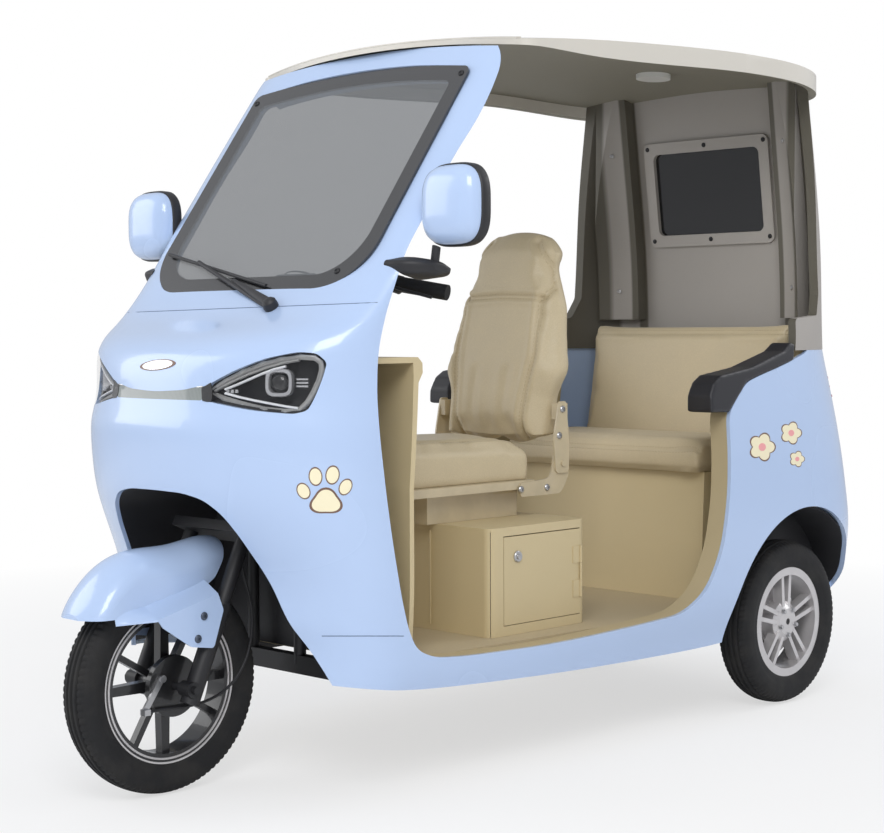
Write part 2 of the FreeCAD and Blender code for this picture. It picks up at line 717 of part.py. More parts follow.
ROOF_STATION_SHARES = (-0.03, 0.05, 0.165, 0.39, 0.62, 0.75, 0.86, 0.96, 1.03)
ROOF_TOP_SHARES = (0.93, 0.68, 0.455, 0.185, 0.015, 0.015, 0.14, 0.46, 0.86)
ROOF_LIP_SHARES = (1.0, 1.0, 0.45, 0.0, 0.0, 0.0, 0.0, 0.0, 0.0)
ROOF_SPREAD_SHARES = (-1.1, -0.8, -0.5, -0.25, 0.0, 0.25, 0.5, 0.8, 1.1)


def roof_face(drop, lip=None):
    """The roof's crowned top surface, lowered by a drop, less of it at the front lip."""
    rows = []
    lips = ROOF_LIP_SHARES if lip else ROOF_SPREAD_SHARES
    for station, low, lip_share in zip(ROOF_STATION_SHARES, ROOF_TOP_SHARES, lips):
        y_place = float(sz.RoofFront) + float(sz.RoofLength) * station
        middle = float(sz.RoofHeight) - float(sz.RoofDrop) * low - float(drop)
        if lip:
            middle += (float(drop) - float(lip)) * lip_share
        rows.append([Vector(float(sz.RoofWidth) / 2 * side, y_place,
                            middle - float(sz.RoofCrown) * side * side)
                     for side in ROOF_SPREAD_SHARES])
    surface = Part.BSplineSurface()
    surface.interpolate(rows)
    return surface.toShape()


ROOF_NOSE_SHARE = 0.042
ROOF_CORNER_SHARE = 0.09
ROOF_STERN_SHARE = 0.36
ROOF_STERN_EXPONENT = 4.2
ROOF_STERN_STEPS = 9


def roof_plan(inset, low, high):
    """The roof seen from above, drawn in by an inset, as a prism."""
    half = float(sz.RoofWidth) / 2 - float(inset)
    front = float(sz.RoofFront) + float(inset)
    back = float(sz.RoofFront) + float(sz.RoofLength) - float(inset)
    waist = back - float(sz.RoofLength) * ROOF_STERN_SHARE
    nose = float(sz.RoofLength) * ROOF_NOSE_SHARE
    corner = float(sz.RoofWidth) * ROOF_CORNER_SHARE / 2
    side = [(half, waist)]
    for step in range(1, ROOF_STERN_STEPS):
        turn = math.pi / 2 * step / ROOF_STERN_STEPS
        side.append((half * math.cos(turn) ** (2 / ROOF_STERN_EXPONENT),
                     waist + (back - waist) * math.sin(turn) ** (2 / ROOF_STERN_EXPONENT)))
    stern = side + [(-a, b) for a, b in side[::-1]]
    points = [Vector(a, b, float(low)) for a, b in stern[::-1]]
    curve = Part.BSplineCurve()
    curve.interpolate(Points=points)
    left_front = Vector(-half + corner, front + nose, float(low))
    right_front = Vector(half - corner, front + nose, float(low))
    left_side = Vector(-half, front + nose + corner, float(low))
    right_side = Vector(half, front + nose + corner, float(low))
    tip = Vector(0, front, float(low))
    turn_in = corner * (1 - math.sqrt(0.5))
    edges = [
        curve.toShape(),
        Part.makeLine(points[-1], right_side),
        Part.Arc(right_side, Vector(half - turn_in, front + nose + turn_in, float(low)),
                 right_front).toShape(),
        Part.Arc(right_front, tip, left_front).toShape(),
        Part.Arc(left_front, Vector(-half + turn_in, front + nose + turn_in, float(low)),
                 left_side).toShape(),
        Part.makeLine(left_side, points[0]),
    ]
    wire = Part.Wire(Part.__sortEdges__(edges))
    return Part.Face(wire).extrude(Vector(0, 0, float(high) - float(low)))


def under_roof(drop):
    """All that lies below the roof's top surface lowered by a drop."""
    return roof_face(drop).extrude(Vector(0, 0, -float(sz.HeaderHeight)))


def rim_underside(clearance):
    """The surface that the roof's rim ends at, lowered by a clearance."""
    return roof_face(sz.RoofEdge + clearance, sz.RoofLip + clearance)


def roof_levels():
    """A height well under the roof's rim and one over its crown."""
    return sz.HeaderHeight - sz.RoofDrop * 2, sz.RoofHeight + sz.Overrun


def roof_space(clearance):
    """All that the roof moulding and the air over it take, grown by a clearance."""
    low, high = roof_levels()
    over = roof_face(sz.RoofSkin + clearance).extrude(Vector(0, 0, float(sz.HeaderHeight)))
    rim = rim_underside(clearance).extrude(Vector(0, 0, float(sz.HeaderHeight)))
    return over.fuse(rim.cut(roof_plan(sz.RoofRim + clearance, low, high)))


def make_roof():
    """The crowned roof moulding with a rim turned down all round, and its front strip."""
    low, high = roof_levels()
    plan = roof_plan(ZERO, low, high)
    below = rim_underside(ZERO).extrude(Vector(0, 0, -float(sz.HeaderHeight)))
    slab = plan.common(under_roof(ZERO)).cut(below)
    space = roof_plan(sz.RoofRim, low, high).common(under_roof(sz.RoofSkin))
    feature("roof_canopy", solid_of(slab.cut(space)))
    strip = plan.common(under_roof(-(sz.StripThickness + sz.FitGap))).cut(under_roof(-sz.FitGap))
    keep = box((-float(sz.RoofWidth * 0.46), 0.0, 0.0),
               (float(sz.RoofWidth * 0.46), float(sz.RoofFront + sz.StripDepth + sz.RoofLength * 0.02),
                float(HIGH)))
    feature("roof_front_strip", solid_of(strip.common(keep)))


# Rear shell

SHELL_SHARES = (
    # height of WaistHeight, half width of RearWidth / 2, tail setback of TailLean, exponent
    (1.00, 0.955, 0.70, 3.8),
    (1.09, 0.936, 0.72, 4.0),
    (1.18, 0.905, 0.80, 4.6),
    (1.44, 0.885, 1.10, 5.0),
    (1.62, 0.872, 1.38, 5.0),
    (1.80, 0.860, 1.66, 5.0),
)
# The shell's front edge seen from the side, heights of WaistHeight, y back from ShellFront
SHELL_EDGE_SHARES = ((0.98, -2.15), (1.088, -1.95), (1.098, -0.35), (1.16, 0.0), (1.9, 0.1))


def shell_form(inset):
    """The rear shell's outer form as a solid, drawn in by an inset."""
    wires = []
    waist = float(sz.WaistY)
    steps = STEPS_TAIL
    for height, width, tail, stern in SHELL_SHARES:
        rear = float(sz.RearWidth) / 2 * width - float(inset)
        back = float(TAIL) - float(sz.TailLean) * tail - float(inset)
        level = float(sz.WaistHeight) * height
        side = []
        for step in range(steps + 1):
            turn = math.pi / 2 * step / steps
            side.append(Vector(rear * max(math.cos(turn), 0.0) ** (2 / stern),
                               waist + (back - waist) * math.sin(turn) ** (2 / stern), level))
        other = [Vector(-point.x, point.y, level) for point in side[-2::-1]]
        curve = Part.BSplineCurve()
        curve.interpolate(Points=side + other)
        closing = Part.makeLine(other[-1], side[0])
        wires.append(Part.Wire([curve.toShape(), closing]))
    return Part.makeLoft(wires, True, False)


def make_rear_shell():
    """The grey shell that closes the cabin's back, with two posts and a window opening."""
    form = shell_form(ZERO)
    inside = shell_form(sz.ShellThickness)
    shape = form.cut(inside)
    step = sz.ShellEar
    edge = [(sz.ShellFront + step * a, sz.WaistHeight * b) for b, a in SHELL_EDGE_SHARES]
    forward = [(sz.WaistY - sz.Overrun, edge[-1][1]), (sz.WaistY - sz.Overrun, edge[0][1])]
    ahead = prism("side", edge + forward, -WIDE, WIDE, 0.12)
    post_form = inside.cut(shell_form(sz.ShellThickness + sz.ShellPost))
    half = sz.WindowWidth / 2
    foot = sz.BackrestTop + sz.FitGap
    for side in (-1, 1):
        inner, outer = half + sz.WindowBar, half + sz.WindowBar * 4
        low, high = sorted((float(inner) * side, float(outer) * side))
        post = post_form.common(box((low, float(sz.BackrestFoot), float(foot)),
                                    (high, float(LONG), float(HIGH))))
        shape = shape.fuse(post)
    gap = sz.FitGap
    seat = lean_on_wall(plate_ring(sz.WindowWidth + gap * 2, sz.WindowHeight + gap * 2,
                                   -sz.Overrun, ZERO, 0.07))
    shape = shape.cut([ahead, roof_space(gap), window_block(gap), seat])
    return feature("rear_shell", solid_of(shape))


def window_place():
    """Centre of the rear window on the shell's inner face, and the wall's lean."""
    low, high = SHELL_SHARES[3], SHELL_SHARES[4]
    rise = float(sz.WaistHeight) * (high[0] - low[0])
    run = -float(sz.TailLean) * (high[2] - low[2])
    share = (float(sz.WindowMiddle) / float(sz.WaistHeight) - low[0]) / (high[0] - low[0])
    back = float(TAIL) - float(sz.TailLean) * (low[2] + (high[2] - low[2]) * share)
    centre = Vector(0, back - float(sz.ShellThickness), float(sz.WindowMiddle))
    return centre, math.degrees(math.atan2(-run, rise))


def lean_on_wall(shape):
    """Turn a plate drawn upright at the origin onto the shell's leaning wall."""
    centre, lean = window_place()
    shape = shape.copy()
    shape.Placement = Placement(centre, Rotation(Vector(1, 0, 0), lean))
    return shape


def plate_ring(width, high, start, end, ease):
    """An upright plate round the origin, between two depths."""
    corners = [(-width / 2, -high / 2), (-width / 2, high / 2), (width / 2, high / 2),
               (width / 2, -high / 2)]
    return prism("front", corners, start, end, ease)


def window_block(grow):
    """The block that the rear window's frame passes through."""
    trim = sz.WindowBar * 0.8
    return lean_on_wall(plate_ring(sz.WindowWidth - trim + grow * 2, sz.WindowHeight - trim + grow * 2,
                                   -sz.Overrun, sz.Overrun * 2, 0.08))


def make_rear_window():
    """The light frame that screws onto the wall from inside, and its dark pane."""
    trim = sz.WindowBar * 0.8
    lip_start = -sz.WindowLip * 1.5
    lip = plate_ring(sz.WindowWidth, sz.WindowHeight, lip_start, -sz.FitGap, 0.07)
    barrel = plate_ring(sz.WindowWidth - trim, sz.WindowHeight - trim, -sz.FitGap,
                        sz.ShellThickness * 0.8, 0.08)
    hole = plate_ring(sz.WindowWidth - sz.WindowBar * 2, sz.WindowHeight - sz.WindowBar * 2,
                      -sz.Overrun, sz.Overrun, 0.08)
    feature("rear_window_frame", solid_of(lean_on_wall(lip.fuse(barrel).cut(hole))))
    pane = plate_ring(sz.WindowWidth - sz.WindowBar * 2, sz.WindowHeight - sz.WindowBar * 2,
                      ZERO, sz.WindowLip, 0.08)
    feature("rear_window_glass", lean_on_wall(pane))


# Lower body

TAIL_SPLIT_SHARE = 0.74


def make_side_panels():
    """The blue sides: sill, quarter and arch lip, left and right, and the tail panel."""
    far = sz.WaistY - sz.Overrun * 2
    split = sz.RearWidth / 2 * TAIL_SPLIT_SHARE
    region = [(-sz.FenderReach, ZERO), (-sz.FenderReach, sz.SeamHeight),
              (sz.DoorStart + sz.DoorLength / 2, sz.SeamHeight),
              (sz.DoorStart + sz.DoorLength / 2, sz.WaistHeight), (LONG, sz.WaistHeight), (LONG, ZERO)]
    keep = prism("side", region, ZERO, WIDE)
    tail_box = box((-float(split), float(far), 0.0), (float(split), float(LONG), float(sz.WaistHeight)))
    cuts = [BOTTOM, rear_arch(sz.RearArchRadius, sz.RearArchInner), *door_cut(sz.DoorStart / 2),
            front_arch(ZERO, sz.ArchDepth), tail_box,
            tail_lamp_prism()]
    left = solid_of(SKIN.common(keep).cut(cuts))
    feature("side_panel_left", left)
    feature("side_panel_right", mirrored(left))
    lamp = tail_lamp_prism()
    tail = solid_of(SKIN.common(tail_box).cut([BOTTOM, lamp, mirrored(lamp)]))
    feature("tail_panel", tail)


def make_linings():
    """The thick beige inner walls that turn round the doorways, left and right."""
    floor_under = sz.FloorTop - sz.FloorThickness
    region = [(sz.DoorStart * 0.55, floor_under), (sz.DoorStart * 0.55, sz.DashTop),
              (sz.BackrestFoot, sz.DashTop), (sz.BackrestFoot, floor_under)]
    keep = prism("side", region, ZERO, WIDE)
    tail_clear = sz.WaistHeight - sz.FitGap
    cuts = [rear_arch(sz.RearArchRadius, sz.RearArchInner), *door_cut(sz.DoorStart / 2),
            front_arch(sz.LinerThickness + sz.FitGap, sz.ArchDepth + sz.LinerThickness + sz.FitGap),
            box((-float(WIDE), 0.0, float(tail_clear)), (float(WIDE), float(LONG), float(HIGH))),
            bottom_cut(sz.FitGap)]
    form = hull(sz.SkinThickness + sz.FitGap).common(keep).cut(hull(sz.WallThickness))
    cuts.append(lamp_prism(LAMP_SHARES, -sz.FenderReach, sz.DoorStart))
    left = solid_of(form.cut(cuts))
    feature("side_lining_left", left)
    feature("side_lining_right", mirrored(left))


def make_wheelhouses():
    """Black liners: the front tunnel, and a hood over each rear wheel."""
    wall = sz.LinerThickness
    outside = front_arch(wall, sz.ArchDepth + wall)
    inside = front_arch(ZERO, sz.ArchDepth)
    shape = outside.cut(inside).common(hull(sz.SkinThickness + sz.FitGap))
    foot = RAIL_TOP + wall
    far = sz.ArchDepth + wall * 3
    low_edge = [(-sz.FenderReach, -sz.Overrun), (-sz.FenderReach, sz.SillHeight),
                (sz.DoorStart * 0.55, sz.SillHeight * 0.95), (far, foot), (far, -sz.Overrun)]
    shape = shape.cut([prism("side", low_edge, -WIDE, WIDE), BOTTOM,
                       steering_bore(sz.StemHole)])
    feature("front_wheelhouse", solid_of(shape))
    radius = sz.RearArchRadius - sz.FitGap
    inner = sz.RearArchInner
    outer_limit = sz.RearWidth / 2 - sz.SkinThickness * 3
    hood = rear_arch(radius, inner).cut(rear_arch(radius - wall, inner + wall))
    keep = box((0.0, 0.0, float(sz.SillHeight)), (float(outer_limit), float(LONG), float(sz.WaistHeight)))
    left = solid_of(hood.common(keep).common(hull(sz.SkinThickness + sz.FitGap)))
    feature("rear_wheelhouses", Part.makeCompound([mirrored(left), left]))


def steering_bore(radius):
    """A round hole along the steering axis."""
    length = sz.StemReach * 2
    return Part.makeCylinder(float(radius), float(length), AXIS_START, AXIS_RUN)


def make_inner_dash():
    """The beige panel in front of the rider, with the shelf that the stem passes."""
    thick = sz.DashThickness
    lip = sz.DashLip
    top = sz.DashTop
    floor = sz.FloorTop + sz.FitGap
    foot = sz.ArchDepth + sz.LinerThickness + sz.FitGap * 2
    drop = thick * 3.4
    corners = [
        (foot, floor), (foot, sz.ArchHeight),
        (lip - thick * 2.2, top - drop), (lip - thick * 2.2, top - thick),
        (sz.DoorStart * 0.4, top - thick), (sz.DoorStart * 0.4, top), (lip - thick, top),
        (lip, top - thick), (lip, top - drop * 0.8), (lip - thick * 1.1, top - drop * 1.3),
        (foot + thick, sz.ArchHeight), (foot + thick, floor),
    ]
    half = sz.FrontWidth
    shape = prism("side", corners, -half, half).common(hull(sz.WallThickness + sz.FitGap))
    shape = shape.cut(steering_bore(sz.StemHole))
    return feature("inner_dash", solid_of(shape))


def make_floor():
    """The flat floor between the linings."""
    front = sz.FloorFront + sz.FitGap + sz.LinerThickness
    rear = sz.BenchFront + sz.BenchLip
    slab = prism("plan", [(-WIDE, front), (WIDE, front), (WIDE, rear), (-WIDE, rear)],
                 sz.FloorTop - sz.FloorThickness, sz.FloorTop)
    arch = rear_arch(sz.RearArchRadius + sz.FitGap, sz.RearArchInner - sz.FitGap)
    shape = slab.common(hull(sz.WallThickness + sz.FitGap)).cut([arch, mirrored(arch)])
    return feature("floor_pan", solid_of(shape))


# Wheels

FRONT_TYRE_SHARES = (
    (-0.33, 0.0), (-0.44, 0.08), (-0.5, 0.42), (-0.46, 0.70), (-0.36, 0.88), (-0.20, 0.97),
    (0.0, 1.0), (0.20, 0.97), (0.36, 0.88), (0.46, 0.70), (0.5, 0.42), (0.44, 0.08), (0.33, 0.0),
)
REAR_TYRE_SHARES = (
    (-0.36, 0.0), (-0.45, 0.10), (-0.5, 0.45), (-0.48, 0.74), (-0.41, 0.93), (-0.26, 0.99),
    (0.0, 1.0), (0.26, 0.99), (0.41, 0.93), (0.48, 0.74), (0.5, 0.45), (0.45, 0.10), (0.36, 0.0),
)


def make_tyre(label, x_place, y_place, radius, width, seat, shares):
    """A tyre turned from its section, seated just outside its rim."""
    body = body_at(label, x_place, y_place, radius)
    section = sketch_on(body, "XZ_Plane", f"{label}_section")
    rise = radius - seat
    draw_outline(section, [(width * a, seat + rise * b) for a, b in shares])
    revolve(body, section)
    return body


def rim_section(body, seat, depth, width):
    """The rim's barrel: two flanges and a well."""
    section = sketch_on(body, "XZ_Plane", f"{body.Name}_section")
    half = width / 2
    draw_outline(section, [
        (-half, seat), (-half, seat - depth), (half, seat - depth), (half, seat),
        (half - depth * 0.2, seat), (half - depth * 0.3, seat - depth * 0.25),
        (half * 0.4, seat - depth * 0.6), (-half * 0.4, seat - depth * 0.6),
        (-half + depth * 0.3, seat - depth * 0.25), (-half + depth * 0.2, seat),
    ])
    return revolve(body, section)


def make_front_wheel():
    """The front rim with eight cast spokes in wide and narrow pairs, and its tyre."""
    seat = sz.FrontRimRadius
    make_tyre("front_tyre", ZERO, ZERO, sz.FrontTyreRadius, sz.FrontTyreWidth,
              seat + sz.FitGap, FRONT_TYRE_SHARES)
    body = body_at("front_rim", ZERO, ZERO, sz.FrontTyreRadius)
    rim_section(body, seat, sz.FrontRimDepth, sz.FrontRimWidth)
    hub = sketch_on(body, "XZ_Plane", "front_hub_section")
    half = sz.FrontRimWidth / 2
    bore = sz.AxleRadius + sz.FitGap
    draw_outline(hub, [(-half, bore), (half, bore), (half, sz.FrontHubRadius),
                       (-half * 0.4, sz.FrontHubRadius), (-half * 0.5, sz.FrontHubRadius * 0.7),
                       (-half, sz.FrontHubRadius * 0.6)])
    revolve(body, hub)
    inner = sz.FrontHubRadius * 0.8
    outer = seat - sz.FrontRimDepth * 0.6
    wide = sketch_on(body, "YZ_Plane", "wide_spoke")
    broad = sz.FrontSpokeWidth / 2
    draw_outline(wide, [(-broad * 1.3, inner), (broad * 1.3, inner), (broad, outer), (-broad, outer)])
    first = pad(body, wide, sz.FrontSpokeDepth, both_ways=True)
    repeat_round(body, [first], 4)
    thin = sketch_on(body, "YZ_Plane", "narrow_spoke")
    slim = broad * 0.55
    lean = outer * 0.5
    side = lean * 1.05
    draw_outline(thin, [(inner * 0.5 - slim, inner * 0.85), (inner * 0.5 + slim * 1.6, inner * 0.72),
                        (side + slim * 1.5, outer * 0.842), (side - slim * 1.2, outer * 0.868)])
    second = pad(body, thin, sz.FrontSpokeDepth * 0.8, both_ways=True)
    repeat_round(body, [second], 4)
    return body


def make_rear_wheel(side_name, side):
    """A rear tyre and its rim with five forked spokes and a hub face."""
    x_place = sz.RearTrack / 2 * side
    seat = sz.RearRimRadius
    make_tyre(f"rear_tyre_{side_name}", x_place, REAR_AXLE, sz.RearTyreRadius,
              sz.RearTyreWidth, seat + sz.FitGap, REAR_TYRE_SHARES)
    body = body_at(f"rear_rim_{side_name}", x_place, REAR_AXLE, sz.RearTyreRadius)
    rim_section(body, seat, sz.RearRimDepth, sz.RearRimWidth)
    hub = sketch_on(body, "XZ_Plane", f"{body.Name}_hub")
    half = sz.RearRimWidth / 2 * side
    bore = sz.AxleRadius + sz.FitGap
    disc = -sz.DiscThickness * 3 * side
    behind = disc - sz.DiscThickness * side
    draw_outline(hub, [(behind, bore), (half * 0.95, bore), (half * 0.95, sz.RearHubRadius),
                       (half * 0.6, sz.RearHubRadius * 1.5), (disc, sz.RearHubRadius * 1.5),
                       (disc, sz.DiscRadius), (behind, sz.DiscRadius)])
    revolve(body, hub)
    inner = sz.RearHubRadius
    outer = seat - sz.RearRimDepth * 0.6
    pair = sketch_on(body, "YZ_Plane", f"{body.Name}_spokes")
    gap = sz.RearSpokeGap / 2
    width = sz.RearSpokeWidth
    for way in (-1, 1):
        draw_outline(pair, [(gap * way, inner), ((gap + width) * way, inner),
                            ((gap * 2 + width) * way, outer), (gap * 2 * way, outer)])
    spoke = pad(body, pair, sz.RearRimWidth / 2 * 0.8, reverse=side < 0)
    repeat_round(body, [spoke], 5)
    return body


def make_rear_axle():
    """The axle tube with the drive motor at its middle and a brake disc at each end."""
    reach = sz.RearTrack / 2 - sz.RearRimWidth / 2 * 0.1
    centre_z = sz.RearTyreRadius
    y_place = REAR_AXLE

    def across(start, end, radius):
        return rod((float(start), float(y_place), float(centre_z)),
                   (float(end), float(y_place), float(centre_z)), radius)

    inner = reach - sz.RearRimWidth * 0.6
    shape = across(-inner, inner, sz.AxleTubeRadius)
    shape = shape.fuse([
        across(-sz.MotorLength / 2, sz.MotorLength / 2, sz.MotorRadius),
        across(-sz.MotorLength * 0.75, sz.MotorLength * 0.75, sz.MotorRadius * 0.6),
    ])
    hub_reach = sz.RearTrack / 2 + sz.RearRimWidth / 2 * 0.9
    shape = shape.fuse([across(-hub_reach, hub_reach, sz.AxleRadius)] + calipers(inner))
    feature("rear_axle", solid_of(shape))


CALIPER_SHARES = (
    (-1.12, -0.34), (-1.12, -0.46), (-0.93, -0.76), (-0.70, -0.98), (-0.58, -0.98), (-0.46, -0.70),
    (-0.72, -0.34),
)
CALIPER_ARM_SHARES = ((-0.95, -0.45), (-0.85, -0.85), (-0.2, -0.2), (-0.2, 0.1))


def calipers(tube_end):
    """A brake caliper over the lower front of each disc, on an arm from the axle tube."""
    pieces = []
    unit = sz.DiscRadius
    middle = sz.RearTrack / 2 - sz.DiscThickness * 3.5
    gap = sz.RunningGap
    for side in (-1, 1):
        corners = [(REAR_AXLE + unit * a, sz.RearTyreRadius + unit * b) for a, b in CALIPER_SHARES]
        half = sz.DiscThickness * 2.4
        block = prism("side", corners, (middle - half * 1.4) * side, (middle + half) * side, 0.2)
        near, far = middle - sz.DiscThickness / 2 - gap, middle + sz.DiscThickness / 2 + gap
        slot = rod((float(near) * side, float(REAR_AXLE), float(sz.RearTyreRadius)),
                   (float(far) * side, float(REAR_AXLE), float(sz.RearTyreRadius)), unit + gap)
        corners = [(REAR_AXLE + unit * a, sz.RearTyreRadius + unit * b) for a, b in CALIPER_ARM_SHARES]
        arm = prism("side", corners, (tube_end - sz.DiscThickness) * side, (middle - half * 1.2) * side)
        pieces.append(solid_of(block.cut(slot)).fuse(arm))
    return pieces


SPRING_LEAVES = 3
SPRING_REACH_SHARE = 0.57


def spring_packs():
    """A pack of leaf springs each side, over the axle and outside the rails."""
    packs = []
    width = sz.RailWidth * 1.5
    spread = sz.RailSpread / 2 + sz.RailWidth * 0.6 + width / 2
    top = sz.RearTyreRadius + sz.AxleTubeRadius + sz.FitGap
    thick = sz.RailWidth * 0.3
    for side in (-1, 1):
        solid = None
        for leaf in range(SPRING_LEAVES):
            reach = sz.RearArchRadius * (SPRING_REACH_SHARE - 0.15 * (SPRING_LEAVES - 1 - leaf))
            low = top + thick * leaf
            rise = sz.RailKick * 0.45
            corners = [(REAR_AXLE - reach, low + rise * reach / sz.RearArchRadius),
                       (REAR_AXLE - thick * 3, low), (REAR_AXLE + thick * 3, low),
                       (REAR_AXLE + reach, low + rise * reach / sz.RearArchRadius),
                       (REAR_AXLE + reach, low + thick + rise * reach / sz.RearArchRadius),
                       (REAR_AXLE + thick * 3, low + thick), (REAR_AXLE - thick * 3, low + thick),
                       (REAR_AXLE - reach, low + thick + rise * reach / sz.RearArchRadius)]
            blade = prism("side", corners, spread * side - width / 2, spread * side + width / 2)
            solid = blade if solid is None else solid.fuse(blade)
        packs.append(solid)
    return packs


SPRING_PACKS = spring_packs()


def make_rear_springs():
    """The two packs of leaf springs as one piece of the vehicle."""
    feature("rear_springs", Part.makeCompound(SPRING_PACKS))


# Steering

def on_axis(along, back=0.0, side=0.0):
    """A point measured along the steering axis from beside the axle."""
    return AXIS_START + AXIS_RUN * float(along) + AXIS_BACK * float(back) + Vector(float(side), 0, 0)


def fork_legs(clearance):
    """The fork's two legs and their lower sleeves, grown by a clearance."""
    back = -sz.ForkOffset / 2
    legs = []
    for side in (-1, 1):
        spread = sz.ForkHalfSpread * side
        legs.append(rod(on_axis(-sz.AxleRadius * 3, back, spread),
                        on_axis(sz.CrownReach, back, spread), sz.ForkTubeRadius + clearance))
        legs.append(rod(on_axis(-sz.AxleRadius * 3.5, back, spread),
                        on_axis(sz.CrownReach * 0.55, back, spread),
                        sz.ForkTubeRadius * 1.25 + clearance))
    return legs


FORK_LUG_SHARES = ((0.02, 1.44), (0.10, 1.70), (0.40, 1.74), (0.30, 1.44))


def fork_lugs():
    """The axle's clamps and the brackets that carry the mudguard, one of each a side."""
    lugs = []
    spread = sz.ForkHalfSpread
    outer = spread + sz.ForkTubeRadius * 1.25
    corners = [(sz.FenderReach * a, sz.FrontTyreRadius * b) for a, b in FORK_LUG_SHARES]
    for side in (-1, 1):
        lugs.append(rod((float(spread - sz.ForkTubeRadius) * side, 0.0, float(sz.FrontTyreRadius)),
                        (float(outer) * side, 0.0, float(sz.FrontTyreRadius)), sz.AxleRadius * 2))
        lugs.append(prism("side", corners, outer * side, (outer - sz.BracketThickness) * side))
    return lugs


def make_steering():
    """Fork, stem and handlebar, which turn together."""
    back = -sz.ForkOffset
    spread = sz.ForkHalfSpread
    crown = sz.CrownReach
    legs = fork_legs(ZERO)
    start = on_axis(crown - sz.CrownThickness / 2, back)
    plate = Part.makeBox(float(spread * 2 + sz.ForkTubeRadius * 3),
                         float(sz.ForkOffset + sz.HeadTubeRadius * 2.2), float(sz.CrownThickness))
    plate.translate(Vector(-float(spread + sz.ForkTubeRadius * 1.5), -float(sz.ForkTubeRadius * 1.4), 0))
    plate.Placement = Placement(start, Rotation(Vector(1, 0, 0), -float(sz.Rake))).multiply(plate.Placement)
    axle = rod((-float(spread) * 1.35, 0, float(sz.FrontTyreRadius)),
               (float(spread) * 1.35, 0, float(sz.FrontTyreRadius)), sz.AxleRadius)
    stem = rod(on_axis(crown), on_axis(sz.StemReach), sz.StemRadius)
    shape = legs[0].fuse(legs[1:] + fork_lugs() + [plate, axle, stem])
    feature("front_fork", solid_of(shape))
    top = sz.StemReach
    grip = sz.GripLength
    reach = spread * 2.25
    grip_rise = sz.BarRadius * 7.7
    points = []
    half = [(0.0, top, 0.0), (spread * 0.9, top, 0.0),
            (spread * 1.6, top + sz.BarRadius * 5.5, sz.BarRadius * 1.5),
            (reach, top + grip_rise, sz.BarRadius * 5.2),
            (reach + grip, top + grip_rise, sz.BarRadius * 10.4)]
    for side_place, along, behind in half[:0:-1]:
        points.append(on_axis(along, behind, -side_place))
    for side_place, along, behind in half[1:]:
        points.append(on_axis(along, behind, side_place))
    bar = tube(points, sz.BarRadius, 0.3)
    clamp = rod(on_axis(top + sz.FitGap, 0.0, -sz.StemRadius * 2),
                on_axis(top + sz.FitGap, 0.0, sz.StemRadius * 2), sz.BarRadius * 1.7)
    feature("handlebar", solid_of(bar.fuse(clamp).cut(shape)))
    grips = []
    for side in (-1, 1):
        inner = on_axis(top + grip_rise, sz.BarRadius * 5.2, reach * side)
        outer = on_axis(top + grip_rise, sz.BarRadius * 10.4, (reach + grip) * side)
        run = outer - inner
        sleeve = rod(inner + run * 0.2, outer + run * 0.04, sz.GripRadius)
        hollow = rod(inner, outer, sz.BarRadius + sz.FitGap)
        grips.append(sleeve.cut(hollow))
    feature("grips", Part.makeCompound(grips))
    cluster = Part.makeBox(float(spread * 1.5), float(sz.StemRadius * 2.4), float(sz.StemRadius * 5))
    cluster.translate(Vector(-float(spread) * 0.75, -float(sz.StemRadius) * 3.4, -float(sz.StemRadius)))
    cluster = cluster.makeFillet(float(sz.StemRadius) * 0.5, cluster.Edges)
    tilted = Placement(on_axis(top), Rotation(Vector(1, 0, 0), -float(sz.Rake) * 1.5))
    cluster.Placement = tilted.multiply(cluster.Placement)
    feature("instrument_cluster", solid_of(cluster.cut([bar.fuse(clamp), shape])))


def make_head_tube():
    """The fixed tube that the stem turns in, its bore, and where it starts on the axis."""
    low = sz.CrownReach + sz.CrownThickness / 2 + sz.RunningGap
    high = low + sz.HeadTubeLength
    outer = rod(on_axis(low), on_axis(high), sz.HeadTubeRadius)
    bore = rod(on_axis(low - sz.Overrun), on_axis(high + sz.Overrun), sz.StemRadius + sz.FitGap)
    return outer, bore, low


FENDER_SHARES = (
    # y of FenderReach, height above the ground of FrontTyreRadius, half width share
    (-1.0, 1.745, 0.50), (-0.93, 1.83, 0.86), (-0.565, 2.18, 1.0), (-0.115, 2.26, 1.0),
    (0.288, 2.29, 0.95), (0.692, 2.26, 0.85),
)
FENDER_SIDE_SHARES = (
    (-1.02, 1.70), (-0.738, 1.70), (-0.41, 1.71), (0.28, 1.88), (0.43, 1.96), (0.53, 2.10),
    (0.59, 2.30), (0.62, 2.50),
)
# Once over the mudguard: half width share, and drop from the crown, none at the foot
FENDER_RING_SHARES = (
    (-1, None), (-1, 2.2), (-0.78, 0.8), (0, 0), (0.78, 0.8), (1, 2.2), (1, None),
)
# The flat plate that bolts to the fork, and the flap behind the fork's leg
FENDER_PLATE_SHARES = (
    (-0.41, 1.68), (-0.35, 1.60), (-0.036, 1.395), (0.225, 1.355), (0.342, 1.69), (0.28, 1.846),
)
FENDER_FLAP_SHARES = (
    (0.28, 1.86), (0.43, 1.93), (0.68, 1.77), (0.92, 1.325), (0.71, 1.35), (0.53, 1.59),
    (0.28, 1.67),
)
# Where the flare begins and ends: along FenderReach, height, and its share of the full step
FENDER_FLARE_SHARES = ((-0.74, 1.66, 0.06), (-0.41, 1.68, 1.0), (0.28, 1.846, 1.0))


